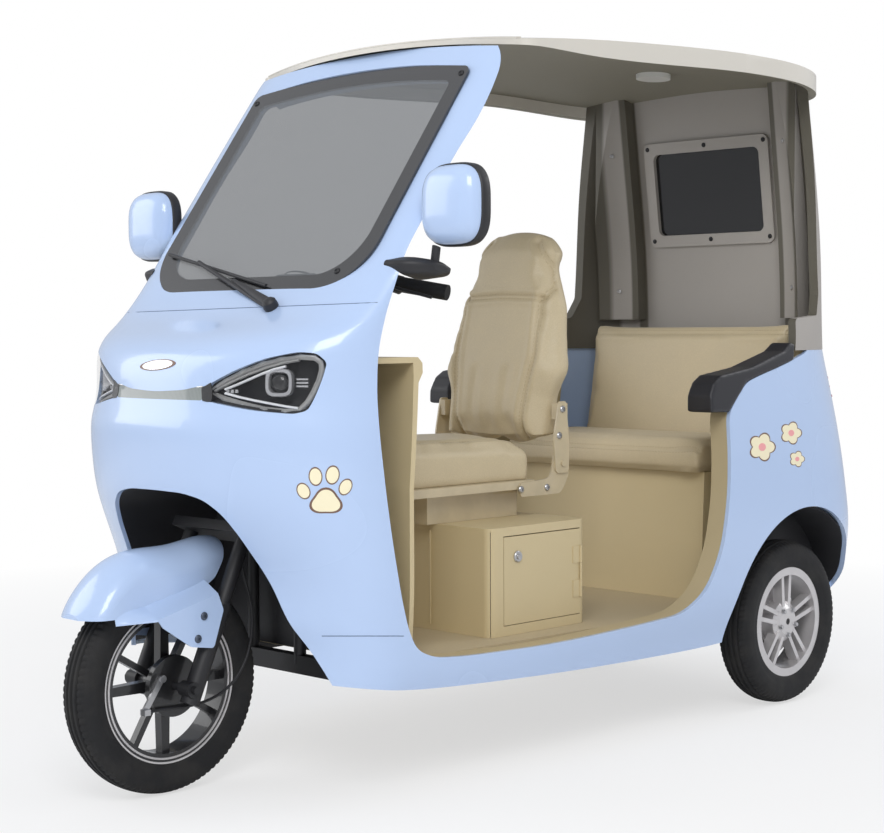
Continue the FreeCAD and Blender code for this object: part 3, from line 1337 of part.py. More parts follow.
def fender_shell():
    """The crowned shell over the wheel, open below."""
    reach = float(sz.FenderReach)
    high = float(sz.FrontTyreRadius)
    forms = []
    for inset in (ZERO, sz.FenderThickness):
        rings = []
        for along, rise, width in FENDER_SHARES:
            half = (float(sz.FenderHalfWidth) * width - float(inset))
            top = high * rise - float(inset) * 1.4
            y_place = reach * along + (float(inset) if along == -1.0 else 0.0)
            crown = half * 0.35
            points = [Vector(half * a, y_place, high if b is None else top - crown * b)
                      for a, b in FENDER_RING_SHARES]
            arch = Part.BSplineCurve()
            arch.interpolate(Points=points[1:-1])
            rings.append(Part.Wire([
                Part.makeLine(points[0], points[1]), arch.toShape(),
                Part.makeLine(points[-2], points[-1]), Part.makeLine(points[-1], points[0])]))
        forms.append(Part.makeLoft(rings, True, False))
    shell = forms[0].cut(forms[1])
    low_points = [(sz.FenderReach * a, sz.FrontTyreRadius * b) for a, b in FENDER_SIDE_SHARES]
    below = low_points + [(sz.FenderReach * 2, sz.FrontTyreRadius * 2.50), (sz.FenderReach * 2, ZERO),
                          (-sz.FenderReach * 2, ZERO), (-sz.FenderReach * 2, sz.FrontTyreRadius * 1.70)]
    return shell.cut(prism("side", below, -sz.FenderReach, sz.FenderReach, 0.25))


def fender_flare(side):
    """The sloping step from the shell's side out to the flat plate."""
    thick = float(sz.FenderThickness)
    inner = float(sz.FenderHalfWidth) - thick
    outer = float(sz.ForkHalfSpread + sz.ForkTubeRadius * 1.25 + sz.FitGap + sz.FenderThickness)
    drop = float(sz.ForkTubeRadius) * 1.5
    wires = []
    for along, rise, share in FENDER_FLARE_SHARES:
        y_place = float(sz.FenderReach) * along
        low = float(sz.FrontTyreRadius) * rise
        edge = inner + thick * 1.5 + (outer - inner - thick * 1.5) * share
        corners = [(inner, low + drop), (edge, low), (edge, low - thick * 1.3),
                   (inner, low + drop - thick * 1.3)]
        spots = [Vector(a * side, y_place, b) for a, b in corners]
        wires.append(Part.makePolygon(spots + spots[:1]))
    return Part.makeLoft(wires, True, True)


def make_fender():
    """The blue front mudguard with the side plates that bolt to the fork."""
    shell = fender_shell()
    added = []
    plate_in = sz.ForkHalfSpread + sz.ForkTubeRadius * 1.25 + sz.FitGap
    flap_in = sz.FenderHalfWidth - sz.FenderThickness * 2.3
    for shares, near in ((FENDER_PLATE_SHARES, plate_in), (FENDER_FLAP_SHARES, flap_in)):
        corners = [(sz.FenderReach * a, sz.FrontTyreRadius * b) for a, b in shares]
        for side in (-1, 1):
            added.append(prism("side", corners, near * side, (near + sz.FenderThickness) * side, 0.12))
    added += [fender_flare(-1), fender_flare(1)]
    whole = shell.fuse(added).cut(fork_legs(sz.FitGap))
    return feature("front_fender", solid_of(whole))


# Cabin furniture

KNUCKLE_SHARES = (0.2, 0.4, 0.6, 0.8)


def knuckle_span(index):
    """Lower end and length of one of the store door's three hinge knuckles."""
    rise = sz.StoreTop - sz.StoreBottom
    low = sz.StoreBottom + rise * KNUCKLE_SHARES[index]
    return low, rise * (KNUCKLE_SHARES[index + 1] - KNUCKLE_SHARES[index]) - sz.FitGap


def add_knuckle(body, index, face_x, axis_y, leaf_y, lift):
    """A hinge knuckle outside an upright face, and the leaf that joins it to the face."""
    low, length = knuckle_span(index)
    radius = sz.HingeRadius * 0.6
    leaf = sketch_on(body, "XY_Plane", f"{body.Name}_leaf_{index}")
    leaf.setExpression("AttachmentOffset.Base.z", (low - lift).formula)
    start, end = sorted((leaf_y, axis_y), key=float)
    draw_outline(leaf, [(face_x - sz.FitGap, start), (face_x + radius * 0.7, start),
                        (face_x + radius * 0.7, end), (face_x - sz.FitGap, end)])
    pad(body, leaf, length)
    barrel = body.newObject("PartDesign::AdditiveCylinder", f"{body.Name}_barrel_{index}")
    barrel.AttachmentSupport = [(origin_part(body, "XY_Plane"), "")]
    barrel.MapMode = "FlatFace"
    barrel.setExpression("Radius", radius.formula)
    barrel.setExpression("Height", length.formula)
    barrel.setExpression("AttachmentOffset.Base.x", (face_x + radius + sz.FitGap).formula)
    barrel.setExpression("AttachmentOffset.Base.y", axis_y.formula)
    barrel.setExpression("AttachmentOffset.Base.z", (low - lift).formula)


def make_pedestal():
    """The hollow seat box with rounded corners and a store opening on its left side."""
    mid_y = (sz.PedestalFront + sz.PedestalRear) / 2
    body = body_at("seat_pedestal", ZERO, mid_y, sz.FloorTop + sz.FitGap)
    plan = sketch_on(body, "XY_Plane", "pedestal_plan")
    half_x = sz.PedestalWidth / 2
    half_y = (sz.PedestalRear - sz.PedestalFront) / 2
    draw_outline(plan, [(-half_x, -half_y), (half_x, -half_y), (half_x, half_y), (-half_x, half_y)])
    rise = sz.PedestalTop - sz.FloorTop - sz.FitGap
    block = pad(body, plan, rise)
    fillet_edges(body, block, sz.PedestalCorner, runs_along(Vector(0, 0, 1)))
    doc.recompute()
    hollow = sketch_on(body, "XY_Plane", "pedestal_hollow")
    wall = sz.PedestalWall
    draw_outline(hollow, [(-half_x + wall, -half_y + wall), (half_x - wall, -half_y + wall),
                          (half_x - wall, half_y - wall), (-half_x + wall, half_y - wall)])
    pocket(body, hollow, rise - wall, reverse=True)
    opening = sketch_on(body, "YZ_Plane", "pedestal_opening")
    gap = sz.FitGap
    low = sz.StoreBottom - sz.FloorTop
    high = sz.StoreTop - sz.FloorTop
    near = sz.StoreFront - mid_y - sz.RunningGap
    far = sz.StoreRear - mid_y + gap
    draw_outline(opening, [(near, low - sz.RunningGap), (far, low - sz.RunningGap),
                           (far, high + sz.RunningGap), (near, high + sz.RunningGap)])
    pocket(body, opening, half_x * 2, reverse=True)
    axis_y = sz.StoreRear + gap / 2
    add_knuckle(body, 1, half_x, axis_y - mid_y + gap / 2, axis_y - mid_y + sz.HingeRadius * 0.5,
                sz.FloorTop + gap)


def make_store_door():
    """The door of the seat box, hinged at its rear edge."""
    body = body_at("store_door", sz.PedestalWidth / 2 - sz.StoreThickness, ZERO, ZERO)
    face = sketch_on(body, "YZ_Plane", "store_outline")
    draw_outline(face, [(sz.StoreFront, sz.StoreBottom), (sz.StoreRear, sz.StoreBottom),
                        (sz.StoreRear, sz.StoreTop), (sz.StoreFront, sz.StoreTop)])
    pad(body, face, sz.StoreThickness)
    axis_y = sz.StoreRear + sz.FitGap / 2
    for index in (0, 2):
        add_knuckle(body, index, sz.StoreThickness, axis_y, axis_y - sz.HingeRadius * 5, ZERO)


def make_battery():
    """The battery pack in the seat box."""
    pack = doc.addObject("Part::Box", "battery_pack")
    pack.Label = "battery_pack"
    pack.setExpression("Length", sz.BatteryWidth.formula)
    pack.setExpression("Width", sz.BatteryLength.formula)
    pack.setExpression("Height", sz.BatteryHeight.formula)
    middle = (sz.PedestalFront + sz.PedestalRear) / 2
    pack.setExpression("Placement.Base.x", (-sz.BatteryWidth / 2).formula)
    pack.setExpression("Placement.Base.y", (middle - sz.BatteryLength / 2 - ORIGIN_Y).formula)
    pack.setExpression("Placement.Base.z", (sz.FloorTop + sz.FitGap).formula)


def upholstery(label, corners, width, round_over):
    """A soft block from its side profile, with rounded edges."""
    body = body_at(label, ZERO, ZERO, ZERO)
    side = sketch_on(body, "YZ_Plane", f"{label}_profile")
    draw_outline(side, corners)
    block = pad(body, side, width, both_ways=True)
    fillet_edges(body, block, round_over, lambda edge: edge.Length > 0)
    return body


def closed_polygon(points, height):
    """A level closed wire of straight edges."""
    return Part.makePolygon([Vector(float(a), float(b), float(height))
                             for a, b in points + points[:1]])


def make_driver_seat():
    """Cushion and reclining back."""
    front, rear, low = sz.SeatFront, sz.SeatRear, sz.SeatBottom
    thick = sz.SeatThickness
    upholstery("seat_cushion", [
        (front, low), (front - sz.SeatFillet * 0.1, low + thick * 0.55), (front + thick * 0.7, low + thick),
        (rear - thick, low + thick * 0.92), (rear, low + thick * 0.8), (rear, low)],
        sz.SeatWidth, sz.SeatFillet)
    lean = math.tan(math.radians(float(sz.BackLean)))
    foot, top = sz.BackFoot, sz.BackTop
    pivot_y, pivot_z = sz.SeatPivotY, sz.SeatPivotZ
    start = pivot_y - sz.BackDepth * 0.55
    rise = top - foot
    wide = sz.BackWidth / 2
    slim = sz.HeadWidth / 2
    rows = ((0.0, wide), (0.30, wide), (0.62, wide * 0.86), (0.80, slim * 1.02),
            (0.94, slim * 0.92))
    wires = []
    for share, half_width in rows:
        height = foot + rise * share
        y_front = start + rise * share * lean
        y_back = y_front + sz.BackDepth * (1.0 - 0.25 * share)
        corner = half_width * 0.86
        points = [(-corner, y_front), (corner, y_front), (half_width, y_front + sz.BackDepth * 0.3),
                  (half_width, y_back - sz.BackDepth * 0.2), (corner, y_back), (-corner, y_back),
                  (-half_width, y_back - sz.BackDepth * 0.2), (-half_width, y_front + sz.BackDepth * 0.3)]
        wires.append(closed_polygon(points, height))
    tip = rows[-1][1] * 0.66
    y_tip = start + rise * lean + sz.BackDepth * 0.15
    cap = [(-tip, y_tip), (tip, y_tip), (tip * 1.1, y_tip + sz.BackDepth * 0.15),
           (tip * 1.1, y_tip + sz.BackDepth * 0.3), (tip, y_tip + sz.BackDepth * 0.45),
           (-tip, y_tip + sz.BackDepth * 0.45), (-tip * 1.1, y_tip + sz.BackDepth * 0.3),
           (-tip * 1.1, y_tip + sz.BackDepth * 0.15)]
    wires.append(closed_polygon(cap, top))
    feature("seat_back", Part.makeLoft(wires, True, True))
    make_recliner(pivot_y, pivot_z, wide)


RECLINER_FIXED_SHARES = (
    (-1.5, -0.75), (-1.5, -0.42), (-0.4, -0.35), (-0.22, 0.3), (0.22, 0.3), (0.3, -0.3),
    (0.0, -0.75),
)
RECLINER_MOVING_SHARES = (
    (-0.24, -0.24), (-0.32, 0.6), (-0.12, 1.55), (0.14, 1.55), (0.26, 0.6), (0.24, -0.24),
)


def seat_frame_pieces():
    """The pan under the cushion and the two slides that it stands on."""
    front, rear, low = sz.SeatFront, sz.SeatRear, sz.SeatBottom
    thick = sz.SeatThickness
    half = sz.SeatWidth / 2 + sz.BracketGap
    start, end = front + thick, rear - thick * 0.3
    pieces = [prism("plan", [(-half, start), (half, start), (half, end), (-half, end)],
                    low - sz.SeatPanDrop, low - sz.FitGap)]
    for side in (-1, 1):
        middle = (sz.SeatWidth / 2 - sz.SeatFillet) * 0.8 * side
        near, far = middle - sz.RailHeight, middle + sz.RailHeight
        start, end = front + thick * 2, rear - thick * 0.5
        pieces.append(prism("plan", [(near, start), (far, start), (far, end), (near, end)],
                            sz.PedestalTop + sz.FitGap, low - sz.SeatPanDrop))
    return pieces


def make_recliner(pivot_y, pivot_z, wide):
    """The steel seat frame with its pivot plates, and the arms on the seat's back."""
    unit = sz.BackDepth
    fixed, moving = [], []
    inner = sz.SeatWidth / 2 + sz.BracketGap
    thick = sz.BracketThickness
    pin = sz.HingeRadius * 1.4
    for side in (-1, 1):
        near, far = sorted((float(inner) * side, float(inner + thick) * side))
        corners = [(pivot_y + unit * a, pivot_z + unit * b) for a, b in RECLINER_FIXED_SHARES]
        plate = prism("side", corners, near, far, 0.25)
        bore = rod((near - float(thick), float(pivot_y), float(pivot_z)),
                   (far + float(thick), float(pivot_y), float(pivot_z)), pin + sz.FitGap)
        fixed.append(plate.cut(bore))
        near, far = sorted((float(inner + thick + sz.FitGap) * side, float(inner + thick * 2) * side))
        corners = [(pivot_y + unit * a, pivot_z + unit * b) for a, b in RECLINER_MOVING_SHARES]
        arm = prism("side", corners, near, far, 0.25)
        stub = rod((float(inner) * side, float(pivot_y), float(pivot_z)),
                   (float(inner + thick * 3) * side, float(pivot_y), float(pivot_z)), pin)
        pad_y = pivot_y + unit * 0.05
        near_y, far_y = pad_y - unit * 0.2, pad_y + unit * 0.2
        low_z, high_z = pivot_z + unit * 1.1, pivot_z + unit * 1.5
        foot = prism("side", [(near_y, low_z), (far_y, low_z), (far_y, high_z), (near_y, high_z)],
                     float(wide + sz.FitGap) * side, float(inner + thick + sz.FitGap) * side)
        moving.append(arm.fuse([stub, foot]))
    pan, *slides = seat_frame_pieces()
    feature("seat_frame", solid_of(pan.fuse(slides + fixed)))
    feature("recliner_arms", Part.makeCompound(moving))


def make_bench():
    """The rear bench: its moulded base, the cushion and the backrest."""
    front = sz.BenchFront
    top = sz.BenchTop
    half = sz.BenchHalfWidth
    gap = sz.FitGap
    wall = sz.PedestalWall
    foot = sz.BackrestFoot
    rear = foot + sz.BackrestThickness
    slope = front + sz.BenchLip * 0.3
    floor = sz.FloorTop + gap
    outer = prism("side", [(front, floor), (slope, top), (rear, top), (rear, floor)], -half, half)
    inner = prism("side", [(front + wall, ZERO), (slope + wall, top - wall), (LONG, top - wall),
                           (LONG, ZERO)], -half + wall, half - wall)
    feature("bench_base", solid_of(outer.cut(inner)))
    cushion_front = front - sz.BenchLip
    corners = [(cushion_front, top + gap), (cushion_front, top + sz.CushionDepth * 0.75),
               (cushion_front + sz.CushionDepth * 0.5, top + sz.CushionDepth),
               (foot - gap, top + sz.CushionDepth), (foot - gap, top + gap)]
    upholstery("bench_cushion", corners, sz.BackrestHalfWidth * 2, sz.SeatFillet * 0.7)
    head = sz.BackrestHead
    thick = sz.BackrestThickness
    corners = [(foot, top + gap), (head, sz.BackrestTop - thick * 0.3),
               (head + thick * 0.3, sz.BackrestTop), (head + thick, sz.BackrestTop),
               (foot + thick, top + gap)]
    upholstery("bench_backrest", corners, sz.BackrestHalfWidth * 2, sz.SeatFillet * 0.6)


def make_armrests():
    """Black grips along the haunches, left and right."""
    edge = [(sz.DoorStart + sz.DoorLength * a, sz.SillHeight + sz.DoorHeight * b)
            for a, b in ((1.0, 0.3785),) + HAUNCH_SHARES[:5]]
    lift = sz.SkinThickness * 3.4
    over = sz.SkinThickness * 7
    top = [(edge[0][0] - over, edge[0][1] + lift * 0.1), (edge[0][0] - over, edge[0][1] + lift * 1.3),
           (edge[0][0] - over * 0.75, edge[0][1] + lift * 2.2),
           (edge[0][0] - over * 0.35, edge[0][1] + lift * 2.7),
           (edge[2][0] + lift * 0.6, edge[2][1] + lift * 1.05),
           (edge[4][0], edge[4][1] + lift * 1.0),
           (edge[5][0] - lift * 0.4, edge[5][1] + lift * 1.25),
           (edge[5][0] + lift * 0.2, edge[5][1] + lift * 1.2)]
    lower = [(a, b + sz.FitGap) for a, b in edge[::-1]]
    gap = sz.FitGap
    lower = lower[:-1] + [(edge[0][0] - gap, edge[0][1] + gap),
                          (edge[0][0] - gap, edge[0][1] + lift * 0.1)]
    outer = sz.RearWidth / 2 + sz.FitGap
    left = prism("side", top + lower, outer - sz.ArmrestWidth, outer)
    left = left.common(hull(-sz.SkinThickness * 0.4))
    left = solid_of(left)
    feature("armrests", Part.makeCompound([mirrored(left), left]))


def spring_hangers(spread, low, kick):
    """Blocks on the rails that hold the springs' front and rear ends."""
    hangers = []
    reach = sz.RearArchRadius * SPRING_REACH_SHARE - sz.RailWidth * 0.4
    width = sz.RailWidth
    for side in (-1, 1):
        near, far = sorted((float(spread) * side, float(spread + width * 2.3) * side))
        for y_place, foot, top in ((REAR_AXLE - reach, low, low + kick * 0.8),
                                   (REAR_AXLE + reach, low + kick * 0.35, low + kick)):
            hangers.append(box((near, float(y_place - width / 2), float(foot)),
                               (far, float(y_place + width / 2), float(top))))
    return hangers


def make_chassis():
    """Two rails that rise over the axle, cross members, and the stays to the head tube."""
    spread = sz.RailSpread / 2
    width = sz.RailWidth
    high = RAIL_TOP
    low = high - sz.ChassisRailHeight
    kick = sz.RailKick
    front = sz.ArchDepth - width * 2
    rear = TAIL - sz.TailLean
    bend = sz.BenchFront + sz.BenchLip + width
    over = bend + kick * 1.2
    corners = [(front, low), (bend, low), (over, low + kick), (rear, low + kick),
               (rear, high + kick), (over - width / 2, high + kick), (bend - width / 2, high),
               (front, high)]
    pieces = []
    for side in (-1, 1):
        middle = spread * side
        pieces.append(prism("side", corners, middle - width / 2, middle + width / 2))
    for y_place, lift in ((front, ZERO), (sz.PedestalFront, ZERO), (sz.PedestalRear, ZERO),
                          (bend - width * 2, ZERO), (rear - width, kick)):
        pieces.append(box((-float(spread), float(y_place), float(low + lift)),
                          (float(spread), float(y_place + width), float(high + lift))))
    pieces += spring_hangers(spread, high - sz.ChassisRailHeight / 2, kick)
    outer, bore, along_low = make_head_tube()
    stays = []
    for side in (-1, 1):
        start = on_axis(along_low + sz.HeadTubeLength * 0.3, sz.HeadTubeRadius * 0.6,
                        sz.StemRadius * 0.5 * side)
        foot_x = float(sz.RailSpread) * 0.18 * side
        foot_y = float(front + width * 0.5)
        knee = Vector(foot_x, foot_y, float(sz.ArchHeight * 0.86))
        foot = Vector(foot_x, foot_y, float(low + sz.ChassisRailHeight * 0.5))
        stays.append(tube([start, knee, foot], sz.StemRadius * 0.9, 0.3))
    shape = pieces[0].fuse(pieces[1:] + stays + [outer]).cut([bore, *SPRING_PACKS])
    feature("chassis_frame", solid_of(shape))


# The mirror shell: depth and size of its sections, and their outline
MIRROR_DEPTH_SHARES = ((0.0, 0.52), (0.1, 0.74), (0.3, 0.9), (0.65, 1.0), (1.0, 0.98))
MIRROR_OUTLINE_SHARES = (
    (-1, -0.9), (-0.9, -1), (0.75, -1), (1, -0.75), (1, 0.8), (0.8, 1), (-0.85, 1), (-1, 0.85),
)


# The streamlined foot of the mirror's arm, seen from the side, in depths of the mirror
MIRROR_FOOT_SHARES = (
    (-0.93, 0.20), (-0.5, 0.38), (0.45, 0.30), (1.1, -0.02), (1.0, -0.30), (0.0, -0.42),
    (-0.75, -0.22),
)


# The foot's sections from the pillar outwards: place along it, and size
MIRROR_POD_SHARES = ((0.0, 1.0), (0.45, 0.97), (0.75, 0.84), (0.93, 0.58), (1.0, 0.3))


def make_mirrors():
    """A mirror each side: black arm, blue shell and the glass."""
    arms, shells, glasses = [], [], []
    half_width = sz.MirrorWidth / 2
    half_height = sz.MirrorHeight / 2
    depth = sz.MirrorDepth
    wires = []
    for share, size_share in MIRROR_DEPTH_SHARES:
        y_place = sz.MirrorY - depth * 0.5 + depth * share
        points = [Vector(float(sz.MirrorX + half_width * a * size_share), float(y_place),
                         float(sz.MirrorZ + half_height * b * size_share))
                  for a, b in MIRROR_OUTLINE_SHARES]
        wires.append(outline(points, 0.4))
    left = Part.makeLoft(wires, True, False)
    gap = sz.FitGap
    face = sz.MirrorY + depth * 0.5
    seat = face - sz.MirrorGlassDepth * 2
    across, up = half_width * 0.86, half_height * 0.86
    recess = box((float(sz.MirrorX - across), float(seat), float(sz.MirrorZ - up)),
                 (float(sz.MirrorX + across), float(sz.MirrorY + depth), float(sz.MirrorZ + up)))
    across, up = across - gap, up - gap
    pane = box((float(sz.MirrorX - across), float(seat), float(sz.MirrorZ - up)),
               (float(sz.MirrorX + across), float(face - sz.MirrorGlassDepth),
                float(sz.MirrorZ + up)))
    left = solid_of(left.cut(recess))
    foot_y, foot_z = sz.DoorStart + sz.DoorLength * 0.1, sz.HoodSeamHeight + sz.PillarThickness * 1.7
    start = float(sz.FrontWidth / 2 - sz.PillarThickness)
    end = float(sz.MirrorX - half_width * 0.5)
    wires = []
    for share, size_share in MIRROR_POD_SHARES:
        corners = [Vector(start + (end - start) * share,
                          float(foot_y + (sz.MirrorY - foot_y) * share * share + depth * a * size_share),
                          float(foot_z + depth * b * size_share)) for a, b in MIRROR_FOOT_SHARES]
        wires.append(outline(corners, 0.3))
    pod = Part.makeLoft(wires, True, False)
    stub_x = end - float(sz.ArmRadius) * 2
    stub = rod((stub_x, float(sz.MirrorY), float(foot_z)),
               (stub_x + float(sz.ArmRadius), float(sz.MirrorY), float(sz.MirrorZ - half_height * 0.8)),
               sz.ArmRadius)
    arm = solid_of(pod.fuse(stub).cut([left, OUTER]))
    for shape, store in ((left, shells), (pane, glasses), (arm, arms)):
        store += [mirrored(shape), shape]
    feature("mirror_shells", Part.makeCompound(shells))
    feature("mirror_glasses", Part.makeCompound(glasses))
    feature("mirror_arms", Part.makeCompound(arms))


def make_wiper():
    """The single wiper: its cap on the hood, the arm and the blade."""
    low, up, inward = glass_frame()
    up.normalize()
    out = -inward

    def spot(side, along, lift):
        return low + Vector(float(side), 0, 0) + up * float(along) + out * float(lift)

    pivot = spot(sz.GlassWidth * 0.28, -sz.WiperCap * 4.3, ZERO)
    cap = Part.makeCylinder(float(sz.WiperCap) * 0.8, float(sz.WiperCap) * 1.6, pivot, out)
    head = pivot + out * float(sz.WiperCap)
    lift = sz.WiperRadius * 3.2
    left = spot(-sz.GlassWidth * 0.46, sz.BorderWidth * 2.72, lift * 0.45)
    right = spot(sz.GlassWidth * 0.12, sz.BorderWidth * 0.25, lift * 0.45)
    blade = rod(left, right, sz.WiperRadius * 0.8)
    hold = left + (right - left) * 0.35
    middle = hold + out * float(lift) * 0.6
    arm = rod(head, middle, sz.WiperRadius)
    link = rod(middle, hold, sz.WiperRadius * 0.9)
    shape = cap.fuse([arm, blade, link]).cut(OUTER)
    feature("wiper", solid_of(shape))


def make_dome_light():
    """The round lamp under the ceiling."""
    middle = sz.ShellFront - sz.ShellEar * 2
    disc = Part.makeCylinder(float(sz.DomeRadius), float(HIGH), Vector(0, float(middle), 0))
    drop = sz.RoofSkin + sz.FitGap
    shape = disc.common(under_roof(drop)).cut(under_roof(drop + sz.DomeDepth))
    feature("dome_light", solid_of(shape))


BRAKE_PIVOT_SHARE = (-0.52, 0.31)
# The brake cable's route from its clevis back and up to the fork's crown
CABLE_SIDE = 54.0
CABLE_BACK = 22.0
CABLE_ROUTE = (
    (-72.0, 186.0), (-32.0, 186.0), (8.0, 183.0), (46.0, 183.5), (84.0, 188.5), (122.0, 201.0),
    (156.0, 225.0), (182.0, 261.0), (196.0, 304.0), (200.0, 349.0), (193.0, 392.0), (180.0, 432.0),
)


def make_brake_parts():
    """The front drum's plate, fixed to the fork, its lever and the lever's cable."""
    half = sz.FrontRimWidth / 2 + sz.RunningGap
    depth = sz.BrakePlateDepth
    plate = rod((float(half), 0, float(sz.FrontTyreRadius)),
                (float(half + depth), 0, float(sz.FrontTyreRadius)), sz.BrakePlateRadius)
    bore = rod((0, 0, float(sz.FrontTyreRadius)),
               (float(sz.FrontWidth), 0, float(sz.FrontTyreRadius)), sz.AxleRadius + sz.FitGap)
    feature("brake_plate", solid_of(plate.cut(bore).cut(doc.getObject("front_fork").Shape)))
    lever_in = half + depth + sz.FitGap
    pivot = (BRAKE_PIVOT_SHARE[0] * sz.BrakePlateRadius,
             sz.FrontTyreRadius + BRAKE_PIVOT_SHARE[1] * sz.BrakePlateRadius)
    end = (CABLE_ROUTE[0][0] - sz.CableRadius * 3, Size(CABLE_ROUTE[0][1], repr(CABLE_ROUTE[0][1])))
    wide = sz.CableRadius * 2
    lever = prism("side", [(pivot[0] - wide, pivot[1] + wide), (pivot[0] + wide, pivot[1]),
                           (end[0] + wide, end[1] - wide), (end[0] - wide, end[1])],
                  lever_in, lever_in + sz.BracketThickness, 0.2)
    boss = rod((float(lever_in), float(pivot[0]), float(pivot[1])),
               (float(lever_in + sz.BracketThickness * 1.4), float(pivot[0]), float(pivot[1])), wide * 1.3)
    clevis = box((float(lever_in), float(end[0] - wide), float(end[1] - wide)),
                 (CABLE_SIDE + float(wide), float(CABLE_ROUTE[0][0]), float(end[1] + wide)))
    feature("brake_lever", solid_of(lever.fuse([boss, clevis])))
    route = [(CABLE_SIDE, along, height) for along, height in CABLE_ROUTE]
    route += [on_axis(sz.CrownReach - sz.CrownThickness / 2 - sz.Overrun, CABLE_BACK, CABLE_SIDE),
              on_axis(sz.CrownReach - sz.CrownThickness / 2, CABLE_BACK, CABLE_SIDE)]
    feature("brake_cable", tube(route, sz.CableRadius))


make_front_cowl()
make_lamps()
make_roof()
make_windscreen_frame()
make_windscreen()
make_rear_shell()
make_rear_window()
make_side_panels()
make_linings()
make_wheelhouses()
make_inner_dash()
make_floor()
make_front_wheel()
for side_name, side in (("left", 1), ("right", -1)):
    make_rear_wheel(side_name, side)
make_rear_axle()
make_rear_springs()
make_steering()
make_fender()
make_brake_parts()
make_pedestal()
make_store_door()
make_battery()
make_driver_seat()
make_bench()
make_armrests()
make_chassis()
make_mirrors()
make_wiper()
make_dome_light()
doc.recompute()


def write_parts():
    """Check every object and write each sub-part to its own file."""
    for thing in doc.Objects:
        if "Invalid" in thing.State or "Error" in thing.State:
            raise RuntimeError(f"{thing.Label} failed: {thing.State}")
    os.makedirs("parts", exist_ok=True)
    kinds = ("PartDesign::Body", "Part::Feature", "Part::Box")
    for thing in doc.Objects:
        if thing.TypeId not in kinds:
            continue
        shape = thing.Shape
        if shape.isNull() or not shape.isValid() or not shape.Solids:
            raise RuntimeError(f"{thing.Label} has no valid solid")
        shape.exportStep(f"parts/{thing.Label}.step")
        bounds = shape.BoundBox
        print(f"{thing.Label}: {len(shape.Solids)} solids, volume {shape.Volume / 1e6:.3f} l, "
              f"x {bounds.XMin:.0f} to {bounds.XMax:.0f}, y {bounds.YMin:.0f} to {bounds.YMax:.0f}, "
              f"z {bounds.ZMin:.0f} to {bounds.ZMax:.0f}")


write_parts()
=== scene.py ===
"""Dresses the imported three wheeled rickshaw: finishes, upholstery, lamps, trims and small fittings."""
from __future__ import annotations

import json
import logging
import math
from dataclasses import dataclass
from enum import Enum
from typing import Callable, Iterable, Sequence

import bmesh
import bpy
from mathutils import Matrix, Vector
from mathutils.bvhtree import BVHTree

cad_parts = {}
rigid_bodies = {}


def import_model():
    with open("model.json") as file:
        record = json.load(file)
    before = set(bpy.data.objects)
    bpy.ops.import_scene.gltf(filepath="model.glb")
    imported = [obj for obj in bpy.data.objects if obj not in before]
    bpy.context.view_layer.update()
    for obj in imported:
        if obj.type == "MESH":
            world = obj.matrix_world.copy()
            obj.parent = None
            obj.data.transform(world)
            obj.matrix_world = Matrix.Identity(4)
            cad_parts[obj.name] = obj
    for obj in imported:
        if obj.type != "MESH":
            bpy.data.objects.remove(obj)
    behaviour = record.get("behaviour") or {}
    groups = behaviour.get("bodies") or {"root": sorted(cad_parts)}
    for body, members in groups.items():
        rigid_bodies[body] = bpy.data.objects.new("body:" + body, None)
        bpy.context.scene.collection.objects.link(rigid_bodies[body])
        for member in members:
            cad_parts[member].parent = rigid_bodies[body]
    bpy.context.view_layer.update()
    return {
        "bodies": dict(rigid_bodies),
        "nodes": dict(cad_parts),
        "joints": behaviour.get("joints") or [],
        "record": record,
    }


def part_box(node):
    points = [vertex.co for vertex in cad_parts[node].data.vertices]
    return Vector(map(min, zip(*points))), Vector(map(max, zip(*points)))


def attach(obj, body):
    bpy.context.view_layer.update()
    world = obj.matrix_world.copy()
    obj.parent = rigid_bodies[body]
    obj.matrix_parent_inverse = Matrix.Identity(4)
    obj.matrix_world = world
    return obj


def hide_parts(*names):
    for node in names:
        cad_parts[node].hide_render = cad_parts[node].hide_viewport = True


LOG = logging.getLogger("rickshaw")
Colour = tuple[float, float, float]
Point = tuple[float, float, float]
Pair = tuple[float, float]
Hit = tuple[Vector, Vector]

# Driving sizes in metres; places are given from the ground below the front axle
ORIGIN_Y = 0.889
WHEELBASE = 1.660
FRONT_RADIUS = 0.228
REAR_RADIUS = 0.209
HALF_TRACK = 0.390

# Where straight lines start when they look for a surface
BEHIND_Y = 2.4
INSIDE_Y = 1.5
BESIDE_X = 0.6
FORWARDS = (0.0, -1.0, 0.0)
BACKWARDS = (0.0, 1.0, 0.0)
UPWARDS = (0.0, 0.0, 1.0)
LEFTWARDS = (1.0, 0.0, 0.0)


def linear(red: int, green: int, blue: int) -> Colour:
    """Turn an sRGB colour into linear light.

    Args:
        red: the red part, from 0 to 255.
        green: the green part.
        blue: the blue part.

    Returns:
        The colour with parts from 0 to 1.
    """
    def one(value: int) -> float:
        """One part in linear light."""
        share = value / 255
        return share / 12.92 if share <= 0.04045 else ((share + 0.055) / 1.055) ** 2.4
    return one(red), one(green), one(blue)


def dimmed(colour: Colour, share: float) -> Colour:
    """A colour at a share of its brightness."""
    return tuple(value * share for value in colour)


def at(x: float, y: float, z: float) -> Vector:
    """A point given from the front axle, in the row frame."""
    return Vector((x, y - ORIGIN_Y, z))


# Shader maths


